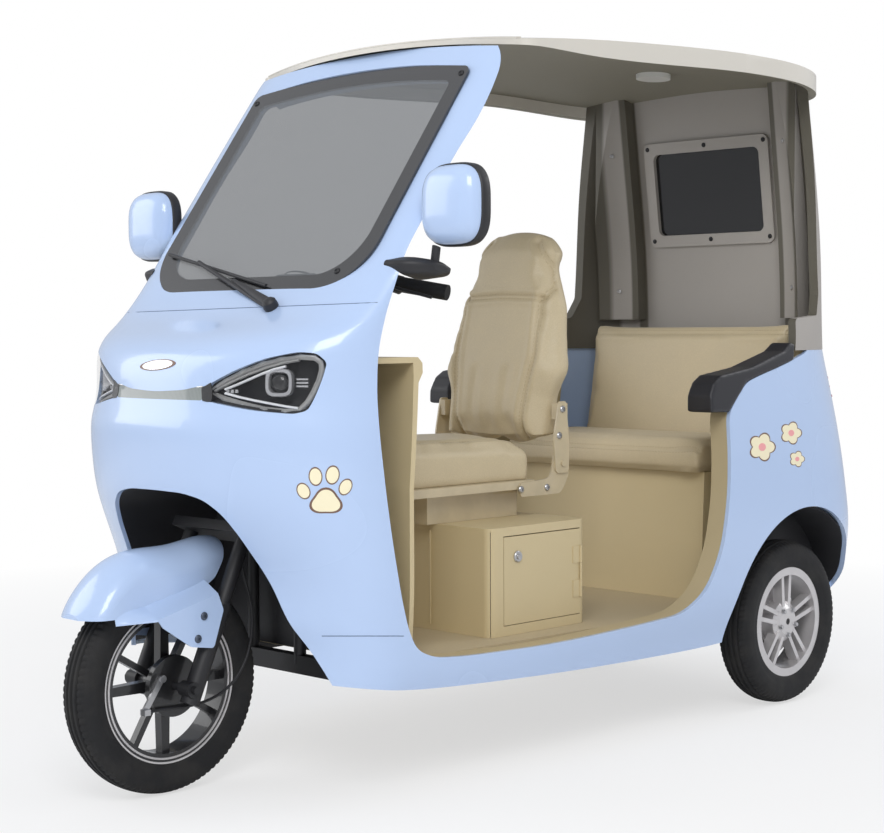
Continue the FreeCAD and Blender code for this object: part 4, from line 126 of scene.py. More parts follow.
class Sock:
    """A shader socket that can be used in plain arithmetic."""

    def __init__(self, shader: "Shader", socket: bpy.types.NodeSocket) -> None:
        """Wrap a node's output socket."""
        self.shader = shader
        self.socket = socket

    def _math(self, operation: str, *values: "Sock | float") -> "Sock":
        """Add a Math node on these values."""
        return self.shader.node("ShaderNodeMath", {"operation": operation},
                                dict(enumerate(values)))["Value"]

    def __add__(self, other: "Sock | float") -> "Sock":
        """self + other."""
        return self._math("ADD", self, other)

    __radd__ = __add__

    def __sub__(self, other: "Sock | float") -> "Sock":
        """self - other."""
        return self._math("SUBTRACT", self, other)

    def __rsub__(self, other: float) -> "Sock":
        """other - self."""
        return self._math("SUBTRACT", other, self)

    def __mul__(self, other: "Sock | float") -> "Sock":
        """self * other."""
        return self._math("MULTIPLY", self, other)

    __rmul__ = __mul__

    def __truediv__(self, other: "Sock | float") -> "Sock":
        """self / other."""
        return self._math("DIVIDE", self, other)

    def above(self, edge: float, soft: float) -> "Sock":
        """0 below an edge and 1 above it, over a soft width."""
        return ((self - edge) / soft + 0.5).held()

    def held(self) -> "Sock":
        """The value kept from 0 to 1."""
        return self.shader.node("ShaderNodeMath", {"operation": "ADD", "use_clamp": True},
                                {0: self, 1: 0.0})["Value"]

    def sine(self) -> "Sock":
        """The sine of the value."""
        return self._math("SINE", self)

    def size(self) -> "Sock":
        """The value without its sign."""
        return self._math("ABSOLUTE", self)

    def either(self, other: "Sock") -> "Sock":
        """The larger of two values."""
        return self._math("MAXIMUM", self, other)


class Outputs(dict):
    """A node's outputs by name."""

    colour: Sock


class Shader:
    """Builds the node tree of a material or a world."""

    def __init__(self, owner: bpy.types.Material | bpy.types.World) -> None:
        """Start with an empty tree.

        Args:
            owner: the material or world that holds the tree.
        """
        owner.use_nodes = True
        self.tree = owner.node_tree
        self.tree.nodes.clear()

    def node(self, kind: str, settings: dict | None = None, values: dict | None = None) -> Outputs:
        """Add a node.

        Args:
            kind: the node's type.
            settings: its own settings, which are set first.
            values: numbers or sockets for its inputs, by name or number.

        Returns:
            The node's outputs by name.
        """
        made = self.tree.nodes.new(kind)
        for key, value in (settings or {}).items():
            setattr(made, key, value)
        for key, value in (values or {}).items():
            if isinstance(value, Sock):
                self.tree.links.new(value.socket, made.inputs[key])
            else:
                made.inputs[key].default_value = value
        found = Outputs({out.name: Sock(self, out) for out in made.outputs})
        found.colour = next((Sock(self, out) for out in made.outputs if out.type == "RGBA"), None)
        return found

    def place(self) -> Sock:
        """The point on the surface in the object's own metres."""
        return self.node("ShaderNodeTexCoord")["Object"]

    def axis(self, name: str) -> Sock:
        """One coordinate of that point."""
        return self.node("ShaderNodeSeparateXYZ", {}, {"Vector": self.place()})[name]

    def facing(self, name: str) -> Sock:
        """One part of the surface's own direction."""
        normal = self.node("ShaderNodeNewGeometry")["Normal"]
        return self.node("ShaderNodeSeparateXYZ", {}, {"Vector": normal})[name]

    def noise(self, scale: float, detail: float = 3.0) -> Sock:
        """A noise value from 0 to 1 at a scale in turns a metre."""
        return self.node("ShaderNodeTexNoise", {},
                         {"Vector": self.place(), "Scale": scale, "Detail": detail})["Fac"]

    def cells(self, scale: float) -> Sock:
        """The distance to the nearest cell's middle."""
        return self.node("ShaderNodeTexVoronoi", {}, {"Vector": self.place(), "Scale": scale})["Distance"]

    def between(self, low: "Sock | Colour", high: "Sock | Colour", share: "Sock | float") -> Sock:
        """Mix two colours, given as numbers or sockets.

        Args:
            low: the colour at share 0.
            high: the colour at share 1.
            share: how far from low to high.

        Returns:
            The mixed colour.
        """
        values = {"Factor": share}
        for number, value in ((6, low), (7, high)):
            values[number] = value if isinstance(value, Sock) else (*value, 1.0)
        return self.node("ShaderNodeMix", {"data_type": "RGBA"}, values).colour

    def bump(self, height: Sock, distance: float, strength: float = 1.0) -> Sock:
        """A bump from a height of 0 to 1 over a distance in metres."""
        return self.node("ShaderNodeBump", {}, {"Height": height, "Distance": distance,
                                                "Strength": strength})["Normal"]


# Finishes


VIEWPORT_GREY = (0.6, 0.6, 0.6, 1.0)


@dataclass(frozen=True)
class Finish:
    """A finish with a name and a main colour."""

    name: str
    colour: Colour

    def inputs(self, made: Shader) -> dict:
        """The Principled shader's inputs, which every kind of finish gives."""
        raise NotImplementedError(self.name)

    def material(self) -> bpy.types.Material:
        """Build the material.

        Returns:
            The material, closed with a Principled shader.
        """
        material = bpy.data.materials.new(self.name)
        made = Shader(material)
        surface = made.node("ShaderNodeBsdfPrincipled", {}, self.inputs(made))["BSDF"]
        made.node("ShaderNodeOutputMaterial", {}, {"Surface": surface})
        material.diffuse_color = VIEWPORT_GREY
        return material


@dataclass(frozen=True)
class Gloss(Finish):
    """Gloss moulding or paint with a faint ripple and a clear coat."""

    shade: float = 0.94
    roughness: float = 0.24
    coat: float = 0.6

    def inputs(self, made: Shader) -> dict:
        """Cloud the colour and ripple the surface under a coat.

        Args:
            made: the tree to build in.

        Returns:
            The Principled shader's inputs.
        """
        cloud = made.noise(1.6, 1.0)
        ripple = made.noise(260.0, 2.0)
        return {
            "Base Color": made.between(dimmed(self.colour, self.shade), self.colour,
                                       cloud.above(0.5, 0.9)),
            "Roughness": self.roughness + cloud * 0.05,
            "Coat Weight": self.coat,
            "Coat Roughness": 0.06,
            "Normal": made.bump(ripple, 0.0002, 0.06),
        }


@dataclass(frozen=True)
class Canopy(Finish):
    """Roof moulding, gloss above; what faces down is felt whose dark colour is partly the lining's own and
    partly painted shade.
    """

    # Colour of what faces down: partly the lining's own colour, partly painted shade.
    lining: Colour

    def inputs(self, made: Shader) -> dict:
        """Line what faces down, darkening it partly with painted shade.

        Args:
            made: the tree to build in.

        Returns:
            The Principled shader's inputs.
        """
        cloud = made.noise(3.0, 2.0)
        felt = made.noise(600.0, 3.0)
        # Painted shade in part: surfaces facing down take the darker lining colour.
        below = (made.facing("Z") * -1.0).above(0.4, 0.2)
        upper = made.between(dimmed(self.colour, 0.92), self.colour, cloud)
        under = made.between(dimmed(self.lining, 0.82), self.lining, felt)
        return {
            "Base Color": made.between(upper, under, below),
            "Roughness": 0.36 + below * 0.4,
            "Coat Weight": 0.25 - below * 0.25,
            "Normal": made.bump(felt * below, 0.0004, 0.5),
        }


@dataclass(frozen=True)
class Moulded(Finish):
    """Satin moulded plastic with a fine spark grain."""

    shade: float = 0.90
    roughness: float = 0.5
    grain: float = 900.0
    depth: float = 0.00025

    def inputs(self, made: Shader) -> dict:
        """Cloud the colour and pit the surface.

        Args:
            made: the tree to build in.

        Returns:
            The Principled shader's inputs.
        """
        cloud = made.noise(4.0, 3.0)
        pores = made.cells(self.grain)
        return {
            "Base Color": made.between(dimmed(self.colour, self.shade), self.colour,
                                       (cloud * 0.7 + pores * 0.4).held()),
            "Roughness": self.roughness + cloud * 0.12,
            "Normal": made.bump(pores, self.depth, 0.5),
        }


@dataclass(frozen=True)
class Wall(Moulded):
    """Rear wall moulding whose inner wings and recesses are darkened with painted shade."""

    # Colour of the painted shade on the inner wings and in the recesses.
    wing: Colour = linear(98, 94, 83)
    wing_at: float = 0.314
    recess_at: Pair = (0.236, 0.262)

    def inputs(self, made: Shader) -> dict:
        """Paint shade on what lies inside, by its place across and the way it faces.

        Args:
            made: the tree to build in.

        Returns:
            The Principled shader's inputs.
        """
        found = super().inputs(made)
        across = made.axis("X")
        inward = (across * made.facing("X") * -1.0).above(0.05, 0.06)
        ahead = (made.facing("Y") * -1.0).above(0.2, 0.1)
        out = across.size()
        recess_shade = out.above(self.recess_at[0], 0.006) - out.above(self.recess_at[1], 0.006)
        wing = (recess_shade + out.above(self.wing_at, 0.012)).held() * (inward + ahead).held()
        # Painted shade: inner wings and recesses facing inward or forward take the darker colour.
        found["Base Color"] = made.between(found["Base Color"], self.wing, wing)
        return found


@dataclass(frozen=True)
class Vinyl(Finish):
    """Soft upholstery vinyl with a leather grain."""

    shade: float = 0.84
    grain: float = 420.0

    def inputs(self, made: Shader) -> dict:
        """Lay the grain's cells over a wide cloud.

        Args:
            made: the tree to build in.

        Returns:
            The Principled shader's inputs.
        """
        cells = made.cells(self.grain)
        wide = made.noise(14.0, 3.0)
        fine = made.noise(700.0, 3.0)
        return {
            "Base Color": made.between(dimmed(self.colour, self.shade), self.colour,
                                       (wide * 0.6 + cells * 0.8).held()),
            "Roughness": 0.42 + wide * 0.14 - cells * 0.08,
            "Sheen Weight": 0.15,
            "Normal": made.bump(cells * 0.8 + fine * 0.3, 0.0006, 0.55),
        }


@dataclass(frozen=True)
class Rubber(Finish):
    """Dull rubber with road dust where it is worn."""

    dust: Colour = (0.026, 0.024, 0.022)
    roughness: float = 0.72

    def inputs(self, made: Shader) -> dict:
        """Dust the rubber in patches.

        Args:
            made: the tree to build in.

        Returns:
            The Principled shader's inputs.
        """
        fine = made.noise(420.0, 4.0)
        cloud = made.noise(18.0, 4.0)
        return {
            "Base Color": made.between(self.colour, self.dust, cloud.above(0.58, 0.3) * 0.7),
            "Roughness": self.roughness + fine * 0.12,
            "Normal": made.bump(fine, 0.0004, 0.6),
        }


@dataclass(frozen=True)
class Metal(Finish):
    """Painted, plated or cast metal."""

    metallic: float = 1.0
    roughness: float = 0.3
    coat: float = 0.0
    grain: float = 260.0

    def inputs(self, made: Shader) -> dict:
        """Cloud the colour and roughen the surface finely.

        Args:
            made: the tree to build in.

        Returns:
            The Principled shader's inputs.
        """
        fine = made.noise(self.grain, 4.0)
        cloud = made.noise(20.0, 3.0)
        return {
            "Base Color": made.between(dimmed(self.colour, 0.82), self.colour, cloud.above(0.45, 0.6)),
            "Metallic": self.metallic,
            "Roughness": self.roughness + fine * 0.12,
            "Coat Weight": self.coat,
            "Normal": made.bump(fine, 0.0003, 0.25),
        }


@dataclass(frozen=True)
class Clear(Finish):
    """A see-through pane or lens."""

    cover: float = 0.7
    roughness: float = 0.04

    def inputs(self, made: Shader) -> dict:
        """Film the pane faintly.

        Args:
            made: the tree to build in.

        Returns:
            The Principled shader's inputs.
        """
        cloud = made.noise(2.0, 2.0)
        film = made.noise(90.0, 3.0).above(0.66, 0.2)
        return {
            "Base Color": made.between(dimmed(self.colour, 0.9), self.colour, cloud),
            "Roughness": self.roughness + film * 0.03,
            "Alpha": self.cover + cloud * 0.04,
            "Coat Weight": 0.3,
        }

    def material(self) -> bpy.types.Material:
        """Build the material and let light through it.

        Returns:
            The material.
        """
        material = super().material()
        material.surface_render_method = "BLENDED"
        return material


@dataclass(frozen=True)
class Glow(Finish):
    """A ribbed lamp cover that is off."""

    pitch: float = 260.0

    def inputs(self, made: Shader) -> dict:
        """Rib the cover upright.

        Args:
            made: the tree to build in.

        Returns:
            The Principled shader's inputs.
        """
        ribs = (made.axis("X") * (self.pitch * math.tau)).sine()
        return {
            "Base Color": made.between(dimmed(self.colour, 0.7), self.colour, (ribs * 0.5 + 0.5).held()),
            "Roughness": 0.2 + made.noise(60.0) * 0.08,
            "Coat Weight": 0.8,
            "Normal": made.bump(ribs * 0.5 + 0.5, 0.0006, 0.4),
        }


FINISHES = {
    "body_paint": Gloss("body paint", linear(186, 208, 242)),
    "beige_trim": Moulded("cabin moulding", linear(207, 190, 150)),
    # The roof's second colour, for what faces down, is partly the lining's own and partly painted shade.
    "beige_roof": Canopy("roof moulding", linear(214, 209, 198), linear(146, 142, 128)),
    # The rear wall's inner wings and recesses take painted shade.
    "grey_shell": Wall("rear wall moulding", linear(172, 167, 161)),
    "window_light": Moulded("window frame", linear(176, 171, 165)),
    "dark_glass": Clear("tinted pane", (0.012, 0.012, 0.013), 0.94),
    "clear_glass": Clear("windscreen pane", (0.17, 0.18, 0.19), 0.60),
    "black_border": Gloss("black enamel", (0.030, 0.030, 0.031), 0.8, 0.2, 0.8),
    "black_plastic": Moulded("black plastic", (0.022, 0.022, 0.025), 0.75, 0.42, 1100.0),
    "lamp_lens": Clear("lamp lens", (0.06, 0.062, 0.066), 0.10),
    "bar_lens": Glow("light bar lens", (0.26, 0.29, 0.28)),
    "tail_lens": Glow("tail lamp lens", (0.42, 0.02, 0.02), 180.0),
    "tyre_rubber": Rubber("tyre rubber", (0.009, 0.009, 0.010)),
    "black_alloy": Metal("black wheel paint", (0.012, 0.012, 0.013), 0.0, 0.30, 0.5),
    "silver_alloy": Metal("silver wheel paint", (0.68, 0.66, 0.66), 0.55, 0.26, 0.4),
    "black_steel": Metal("black powder coat", (0.016, 0.016, 0.018), 0.0, 0.42),
    "bare_steel": Metal("zinc plate", (0.55, 0.55, 0.56), 1.0, 0.30),
    "seat_vinyl": Vinyl("seat vinyl", linear(206, 190, 156)),
    "battery_case": Moulded("battery case", (0.02, 0.02, 0.022)),
    "mirror_face": Metal("mirror glass", (0.82, 0.84, 0.86), 1.0, 0.03, grain=2.0),
    "grip_rubber": Rubber("grip rubber", (0.012, 0.012, 0.013)),
    "lamp_white": Moulded("lamp cover", (0.80, 0.80, 0.76), roughness=0.3),
    "beige_lining": Moulded("cabin lining", linear(190, 174, 138)),
    "floor_mat": Moulded("floor mat", linear(192, 177, 146), 0.84, 0.6, 240.0, 0.0006),
    "arm_foam": Moulded("arm pad foam", (0.022, 0.022, 0.027), 0.7, 0.38, 500.0, 0.0004),
    "thread": Vinyl("sewing thread", linear(186, 168, 132)),
    "light_guide": Moulded("light guide", (0.92, 0.93, 0.95), 0.95, 0.2),
    "chrome": Metal("lamp chrome", (0.86, 0.86, 0.88), 0.7, 0.14, grain=40.0),
    "lamp_trim": Metal("lamp trim", (0.46, 0.46, 0.45), 0.35, 0.25, grain=60.0),
    "cream_steel": Metal("cream coated steel", linear(205, 190, 158), 0.0, 0.3, 0.4),
    "grey_bolt": Metal("grey bolt", (0.10, 0.12, 0.16), 0.6, 0.4),
    "sticker_cream": Gloss("cream film", linear(250, 240, 205), 0.97, 0.35, 0.2),
    "sticker_brown": Gloss("brown film", linear(120, 92, 78), 0.95, 0.4, 0.1),
    "sticker_pink": Gloss("pink film", linear(246, 168, 170), 0.95, 0.35, 0.2),
    "badge_silver": Metal("badge silver", (0.80, 0.80, 0.82), 0.9, 0.2, grain=80.0),
    "shadow_line": Gloss("panel gap", linear(96, 112, 140), 0.9, 0.6, 0.0),
}


class Palette:
    """Makes each finish once and gives it out."""

    def __init__(self) -> None:
        """Start with no materials."""
        self.made: dict[str, bpy.types.Material] = {}

    def get(self, name: str) -> bpy.types.Material:
        """Give out a finish's material.

        Args:
            name: the finish's name in FINISHES.

        Returns:
            Its one material.
        """
        if name not in self.made:
            self.made[name] = FINISHES[name].material()
        return self.made[name]


PALETTE = Palette()


# The photograph's viewpoint and the stage


@dataclass(frozen=True)
class Eye:
    """The photograph's viewpoint, solved from points whose places are known."""

    place: Point = (3.08324, -2.25686, 0.96219)
    turn: float = 0.784651
    dip: float = 0.047708
    roll: float = -0.0049976
    focal_px: float = 1824.6467214674815
    wide_px: float = 884.0
    high_px: float = 833.0

    def axes(self) -> tuple[Vector, Vector, Vector]:
        """Work out how the view is turned.

        Returns:
            The directions to the right, up and ahead.
        """
        look = Vector((-math.sin(self.turn) * math.cos(self.dip),
                       math.cos(self.turn) * math.cos(self.dip), -math.sin(self.dip)))
        level = Vector((math.cos(self.turn), math.sin(self.turn), 0.0))
        up = level.cross(look)
        right = level * math.cos(self.roll) + up * math.sin(self.roll)
        return right, up * math.cos(self.roll) - level * math.sin(self.roll), look

    def way(self, across: float, down: float) -> Vector:
        """The direction through a pixel of the photograph's frame."""
        right, top, look = self.axes()
        return (look + right * ((across - self.wide_px / 2) / self.focal_px)
                + top * ((self.high_px / 2 - down) / self.focal_px)).normalized()

    def on(self, skin: "Skin", across: float, down: float) -> Hit | None:
        """The point of a surface that shows at a pixel, and its normal."""
        return skin.cast(self.place, self.way(across, down))


EYE = Eye()


@dataclass(frozen=True)
class StudioLamp:
    """A soft square lamp that faces the vehicle."""

    name: str
    place: Point
    size: float
    watts: float
    aim: Point = (0.0, 0.0, 0.7)

    def build(self) -> None:
        """Add the lamp."""
        data = bpy.data.lights.new(self.name, "AREA")
        data.size = self.size
        data.energy = self.watts
        made = bpy.data.objects.new(self.name, data)
        made.location = self.place
        run = Vector(self.aim) - Vector(self.place)
        made.rotation_euler = run.to_track_quat("-Z", "Y").to_euler()
        bpy.context.scene.collection.objects.link(made)


@dataclass(frozen=True)
class Studio:
    """Camera, lamps, surround and floor."""

    lamps: tuple[StudioLamp, ...] = (
        StudioLamp("key lamp", (3.4, -3.6, 4.2), 2.6, 150.0),
        StudioLamp("fill lamp", (-3.8, -3.2, 2.6), 3.0, 60.0),
        StudioLamp("back lamp", (1.6, 4.4, 3.6), 3.0, 60.0),
    )
    sensor_mm: float = 36.0
    view_end: float = 60.0
    surround: Colour = (0.93, 0.95, 1.0)
    surround_strength: float = 0.62
    floor_half: float = 30.0
    floor_colour: Colour = (0.86, 0.86, 0.86)
    floor_glow: float = 0.62
    fade_area: float = 9.0
    fade_start: float = 0.35

    def build(self) -> None:
        """Place the camera, the lamps, the surround and the floor."""
        self.camera()
        for lamp in self.lamps:
            lamp.build()
        self.world()
        self.floor()

    def camera(self) -> None:
        """Set the camera at the photograph's viewpoint."""
        data = bpy.data.cameras.new("photo camera")
        data.sensor_width = self.sensor_mm
        data.lens = EYE.focal_px * data.sensor_width / EYE.wide_px
        data.clip_end = self.view_end
        right, top, look = EYE.axes()
        turn = Matrix((right, top, -look)).transposed().to_4x4()
        made = bpy.data.objects.new("photo camera", data)
        made.matrix_world = Matrix.Translation(at(*EYE.place)) @ turn
        bpy.context.scene.collection.objects.link(made)
        bpy.context.scene.camera = made

    def world(self) -> None:
        """Surround the vehicle with dim light that looks white to the camera."""
        world = bpy.data.worlds.new("studio")
        bpy.context.scene.world = world
        shade = Shader(world)
        path = shade.node("ShaderNodeLightPath")
        seen = path["Is Camera Ray"].either(path["Is Transmission Ray"])
        dim = shade.node("ShaderNodeBackground", {}, {"Color": (*self.surround, 1.0),
                                                      "Strength": self.surround_strength})["Background"]
        white = shade.node("ShaderNodeBackground", {}, {"Color": (1.0, 1.0, 1.0, 1.0)})["Background"]
        mixed = shade.node("ShaderNodeMixShader", {}, {0: seen, 1: dim, 2: white})["Shader"]
        shade.node("ShaderNodeOutputWorld", {}, {"Surface": mixed})

    def floor(self) -> None:
        """Lay a pale floor that keeps the vehicle's shadow and fades to white."""
        mesh = bpy.data.meshes.new("floor")
        half = self.floor_half
        mesh.from_pydata([(-half, -half, 0), (half, -half, 0), (half, half, 0), (-half, half, 0)],
                         [], [(0, 1, 2, 3)])
        made = bpy.data.objects.new("floor", mesh)
        bpy.context.scene.collection.objects.link(made)
        material = bpy.data.materials.new("pale floor")
        shade = Shader(material)
        across, along = shade.axis("X"), shade.axis("Y")
        far = ((across * across + along * along) / self.fade_area - self.fade_start).held()
        matt = shade.node("ShaderNodeBsdfDiffuse", {}, {"Color": (*self.floor_colour, 1.0)})["BSDF"]
        pale = shade.node("ShaderNodeEmission", {}, {"Color": (1.0, 1.0, 1.0, 1.0),
                                                     "Strength": 1.0})["Emission"]
        seen = shade.node("ShaderNodeLightPath")["Is Camera Ray"]
        glow = seen * (self.floor_glow + far * (1.0 - self.floor_glow))
        mixed = shade.node("ShaderNodeMixShader", {}, {0: glow, 1: matt, 2: pale})["Shader"]
        shade.node("ShaderNodeOutputMaterial", {}, {"Surface": mixed})
        mesh.materials.append(material)


# Shapes


def turns(steps: int) -> list[float]:
    """Equal turns round a circle."""
    return [math.tau * step / steps for step in range(steps)]


def rounded(turn: float, power: float) -> Pair:
    """A point of a rounded square of half size 1, squarer at a lower power."""
    across, up = math.cos(turn), math.sin(turn)
    return math.copysign(abs(across) ** power, across), math.copysign(abs(up) ** power, up)


class Form:
    """Points and faces gathered into one mesh, measured from the front axle."""

    def __init__(self) -> None:
        """Start with nothing."""
        self.points: list[Vector] = []
        self.faces: list[tuple[int, ...]] = []

    def loft(self, rings: Sequence[Sequence[Vector]], capped: bool = True,
             looped: bool = False) -> "Form":
        """Skin closed rings of equal count.

        Args:
            rings: the rings in order.
            capped: close the first and the last ring.
            looped: join the last ring to the first.

        Returns:
            This form.
        """
        start, count = len(self.points), len(rings[0])
        for ring in rings:
            self.points.extend(Vector(point) for point in ring)
        for row in range(len(rings) if looped else len(rings) - 1):
            here = start + row * count
            there = start + (row + 1) % len(rings) * count
            for step in range(count):
                after = (step + 1) % count
                self.faces.append((here + step, here + after, there + after, there + step))
        if capped:
            self.faces.append(tuple(range(start, start + count)))
            self.faces.append(tuple(range(len(self.points) - count, len(self.points))))
        return self

    def turned(self, profile: Iterable[tuple[float, float]], centre: Sequence[float],
               axis: Sequence[float], steps: int = 32, looped: bool = False) -> "Form":
        """Turn a profile about an axis.

        Args:
            profile: pairs of distance along the axis and radius.
            centre: where the axis starts.
            axis: its direction.
            steps: the facets round it.
            looped: the profile is a closed section.

        Returns:
            This form.
        """
        way = Vector(axis).normalized()
        side = way.orthogonal().normalized()
        rise = way.cross(side)
        rings = [[Vector(centre) + way * along
                  + (side * math.cos(turn) + rise * math.sin(turn)) * radius
                  for turn in turns(steps)] for along, radius in profile]
        return self.loft(rings, capped=not looped, looped=looped)

    def tube(self, points: Iterable[Sequence[float]], radius: float, sides: int = 10,
             looped: bool = False, flat: float = 1.0) -> "Form":
        """Sweep a round or flattened section along points.

        Args:
            points: the path.
            radius: the section's radius.
            sides: its facets.
            looped: the path closes on itself.
            flat: the section's height as a share of its width.

        Returns:
            This form.
        """
        path = [Vector(point) for point in points]
        last = len(path) - 1
        side = Vector((0.0, 0.0, 1.0))
        rings = []
        for number, point in enumerate(path):
            before = path[number - 1] if looped or number else path[0]
            after = path[(number + 1) % len(path)] if looped or number < last else path[last]
            ahead = (after - before).normalized()
            side = side - ahead * side.dot(ahead)
            side = side.normalized() if side.length > 1e-4 else ahead.orthogonal().normalized()
            rise = ahead.cross(side)
            rings.append([point + side * (math.cos(turn) * radius * flat)
                          + rise * (math.sin(turn) * radius) for turn in turns(sides)])
        return self.loft(rings, capped=not looped, looped=looped)

    def dome(self, point: Vector, normal: Vector, radius: float, height: float,
             steps: int = 14) -> "Form":
        """Set a pan head screw with a round socket on a surface."""
        share = ((-0.4, 1.0), (0.35, 1.0), (0.8, 0.8), (1.0, 0.46), (0.96, 0.34), (0.4, 0.28))
        return self.turned([(height * along, radius * wide) for along, wide in share], point, normal, steps)

    def bolt(self, point: Vector, normal: Vector, radius: float, height: float) -> "Form":
        """Set a washer and a six sided head on a surface."""
        self.turned(((-0.0005, radius * 1.25), (height * 0.22, radius * 1.25),
                     (height * 0.26, radius * 1.15)), point, normal, 24)
        return self.turned(((0.0, radius), (height * 0.85, radius), (height, radius * 0.82)),
                           point, normal, 6)

    def both(self) -> "Form":
        """Add the same shape on the other side of the vehicle.

        Returns:
            This form.
        """
        count = len(self.points)
        self.points += [Vector((-p.x, p.y, p.z)) for p in self.points[:count]]
        self.faces += [tuple(count + corner for corner in reversed(face)) for face in list(self.faces)]
        return self

    def mesh(self, name: str, sharp: float) -> bpy.types.Mesh:
        """Make the mesh in the row frame, smooth except at sharp edges.

        Args:
            name: the mesh's name.
            sharp: edges over this many degrees stay sharp.

        Returns:
            The mesh.
        """
        made = bpy.data.meshes.new(name)
        shift = Vector((0.0, -ORIGIN_Y, 0.0))
        made.from_pydata([point + shift for point in self.points], [], self.faces)
        shape = bmesh.new()
        shape.from_mesh(made)
        bmesh.ops.recalc_face_normals(shape, faces=shape.faces)
        shape.to_mesh(made)
        shape.free()
        made.polygons.foreach_set("use_smooth", [True] * len(made.polygons))
        made.set_sharp_from_angle(angle=math.radians(sharp))
        return made


class Skin:
    """The surface of CAD nodes, for setting small pieces on it."""

    def __init__(self, frame: dict, *names: str) -> None:
        """Gather the nodes' faces.

        Args:
            frame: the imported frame.
            names: the nodes.
        """
        shift = Vector((0.0, ORIGIN_Y, 0.0))
        points: list[Vector] = []
        faces: list[tuple[int, ...]] = []
        for name in names:
            start = len(points)
            mesh = frame["nodes"][name].data
            points += [vertex.co + shift for vertex in mesh.vertices]
            faces += [tuple(start + corner for corner in face.vertices) for face in mesh.polygons]
        self.tree = BVHTree.FromPolygons(points, faces)

    def cast(self, start: Sequence[float], way: Sequence[float]) -> Hit | None:
        """Find the first point along a line.

        Args:
            start: where the line starts.
            way: its direction.

        Returns:
            The point and its normal towards the start, or None where the line meets nothing.
        """
        point, normal, _, _ = self.tree.ray_cast(Vector(start), Vector(way))
        if point is None:
            return None
        return point, (-normal if normal.dot(Vector(way)) > 0 else normal)

    def from_behind(self, x: float, z: float) -> Hit | None:
        """The rearmost point at a place across and up."""
        return self.cast((x, BEHIND_Y, z), FORWARDS)

    def from_side(self, y: float, z: float, side: float = 1.0) -> Hit | None:
        """The outermost point of one side at a place along and up."""
        return self.cast((side * BESIDE_X, y, z), (-side, 0, 0))


@dataclass
class Assembly:
    """A group of pieces that share a purpose."""

    frame: dict

    def add(self, name: str, form: Form | bpy.types.Mesh, finish: str, body: str = "vehicle",
            slot: str | None = None, sharp: float = 32.0) -> bpy.types.Object | None:
        """Make a piece, dress it and set it on its body.

        Args:
            name: the piece's name.
            form: its shape, or a finished mesh.
            finish: the finish it gets.
            body: the CAD body it rides on.
            slot: the record's slot, where it isn't the finish's own name; it is looked up in the record but
                the piece is not given it.
            sharp: edges over this many degrees stay sharp.

        Returns:
            The piece, or None for a shape without faces.
        """
        if isinstance(form, Form) and not form.faces:
            LOG.warning("%s: no surface to set it on", name)
            return None
        mesh = form.mesh(name, sharp) if isinstance(form, Form) else form
        mesh.materials.clear()
        mesh.materials.append(PALETTE.get(finish))
        piece = bpy.data.objects.new(name, mesh)
        bpy.context.scene.collection.objects.link(piece)
        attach(piece, body)
        named = slot or finish
        any(item.get("slot") == named for item in self.frame["record"]["materials"])
        LOG.info("%s: %d faces on %s", name, len(mesh.polygons), body)
        return piece

    def spots(self, skin: Skin, pixels: Iterable[Pair]) -> list[Hit]:
        """The surface points at these pixels, where the surface shows there."""
        found = [EYE.on(skin, across, down) for across, down in pixels]
        return [spot for spot in found if spot]


# Upholstery

SWELL_FRAMES = 20
SEAM_FACING = 0.25
SEAM_REACH = 5
RIDGE_AT = 2.2
RIDGE_SHARE = 0.35
STITCH_OFFSET = 0.0055
STITCH_PITCH = 0.009
STITCH_RADIUS = 0.0006
STITCH_ENDS = (0.2, 0.8)
STITCH_LIFT = 0.0002
STITCH_PROBE = 0.12


class BenchPart(Enum):
    """The bench's padded parts, by their CAD nodes."""

    CUSHION = "bench_cushion"
    BACKREST = "bench_backrest"


@dataclass(frozen=True)
class Seam:
    """A sewn line on the face that looks one way."""

    points: tuple[Point, ...]
    way: Point
    depth: float = 0.005
    width: float = 0.007
    mirrored: bool = False
    stitched: bool = True


def polyline_gap(point: Vector, line: Sequence[Vector], way: Vector) -> float:
    """Measure how far a point is from a line, seen along a direction.

    Args:
        point: the point.
        line: the line's points.
        way: the direction, of length 1.

    Returns:
        The distance in metres.
    """
    best = math.inf
    for start, end in zip(line, line[1:]):
        run = end - start
        flat = run - way * run.dot(way)
        off = point - start
        off = off - way * off.dot(way)
        share = max(0.0, min(1.0, off.dot(flat) / max(flat.length_squared, 1e-9)))
        best = min(best, (off - flat * share).length)
    return best


def modified(mesh: bpy.types.Mesh, kind: str, **settings: object) -> bpy.types.Mesh:
    """Apply one modifier to a mesh.

    Args:
        mesh: the mesh to change.
        kind: the modifier's type.
        settings: its settings.

    Returns:
        The changed mesh.
    """
    holder = bpy.data.objects.new("holder", mesh)
    bpy.context.scene.collection.objects.link(holder)
    made = holder.modifiers.new("step", kind)
    for key, value in settings.items():
        setattr(made, key, value)
    graph = bpy.context.evaluated_depsgraph_get()
    graph.update()
    found = bpy.data.meshes.new_from_object(holder.evaluated_get(graph))
    bpy.data.objects.remove(holder)
    return found


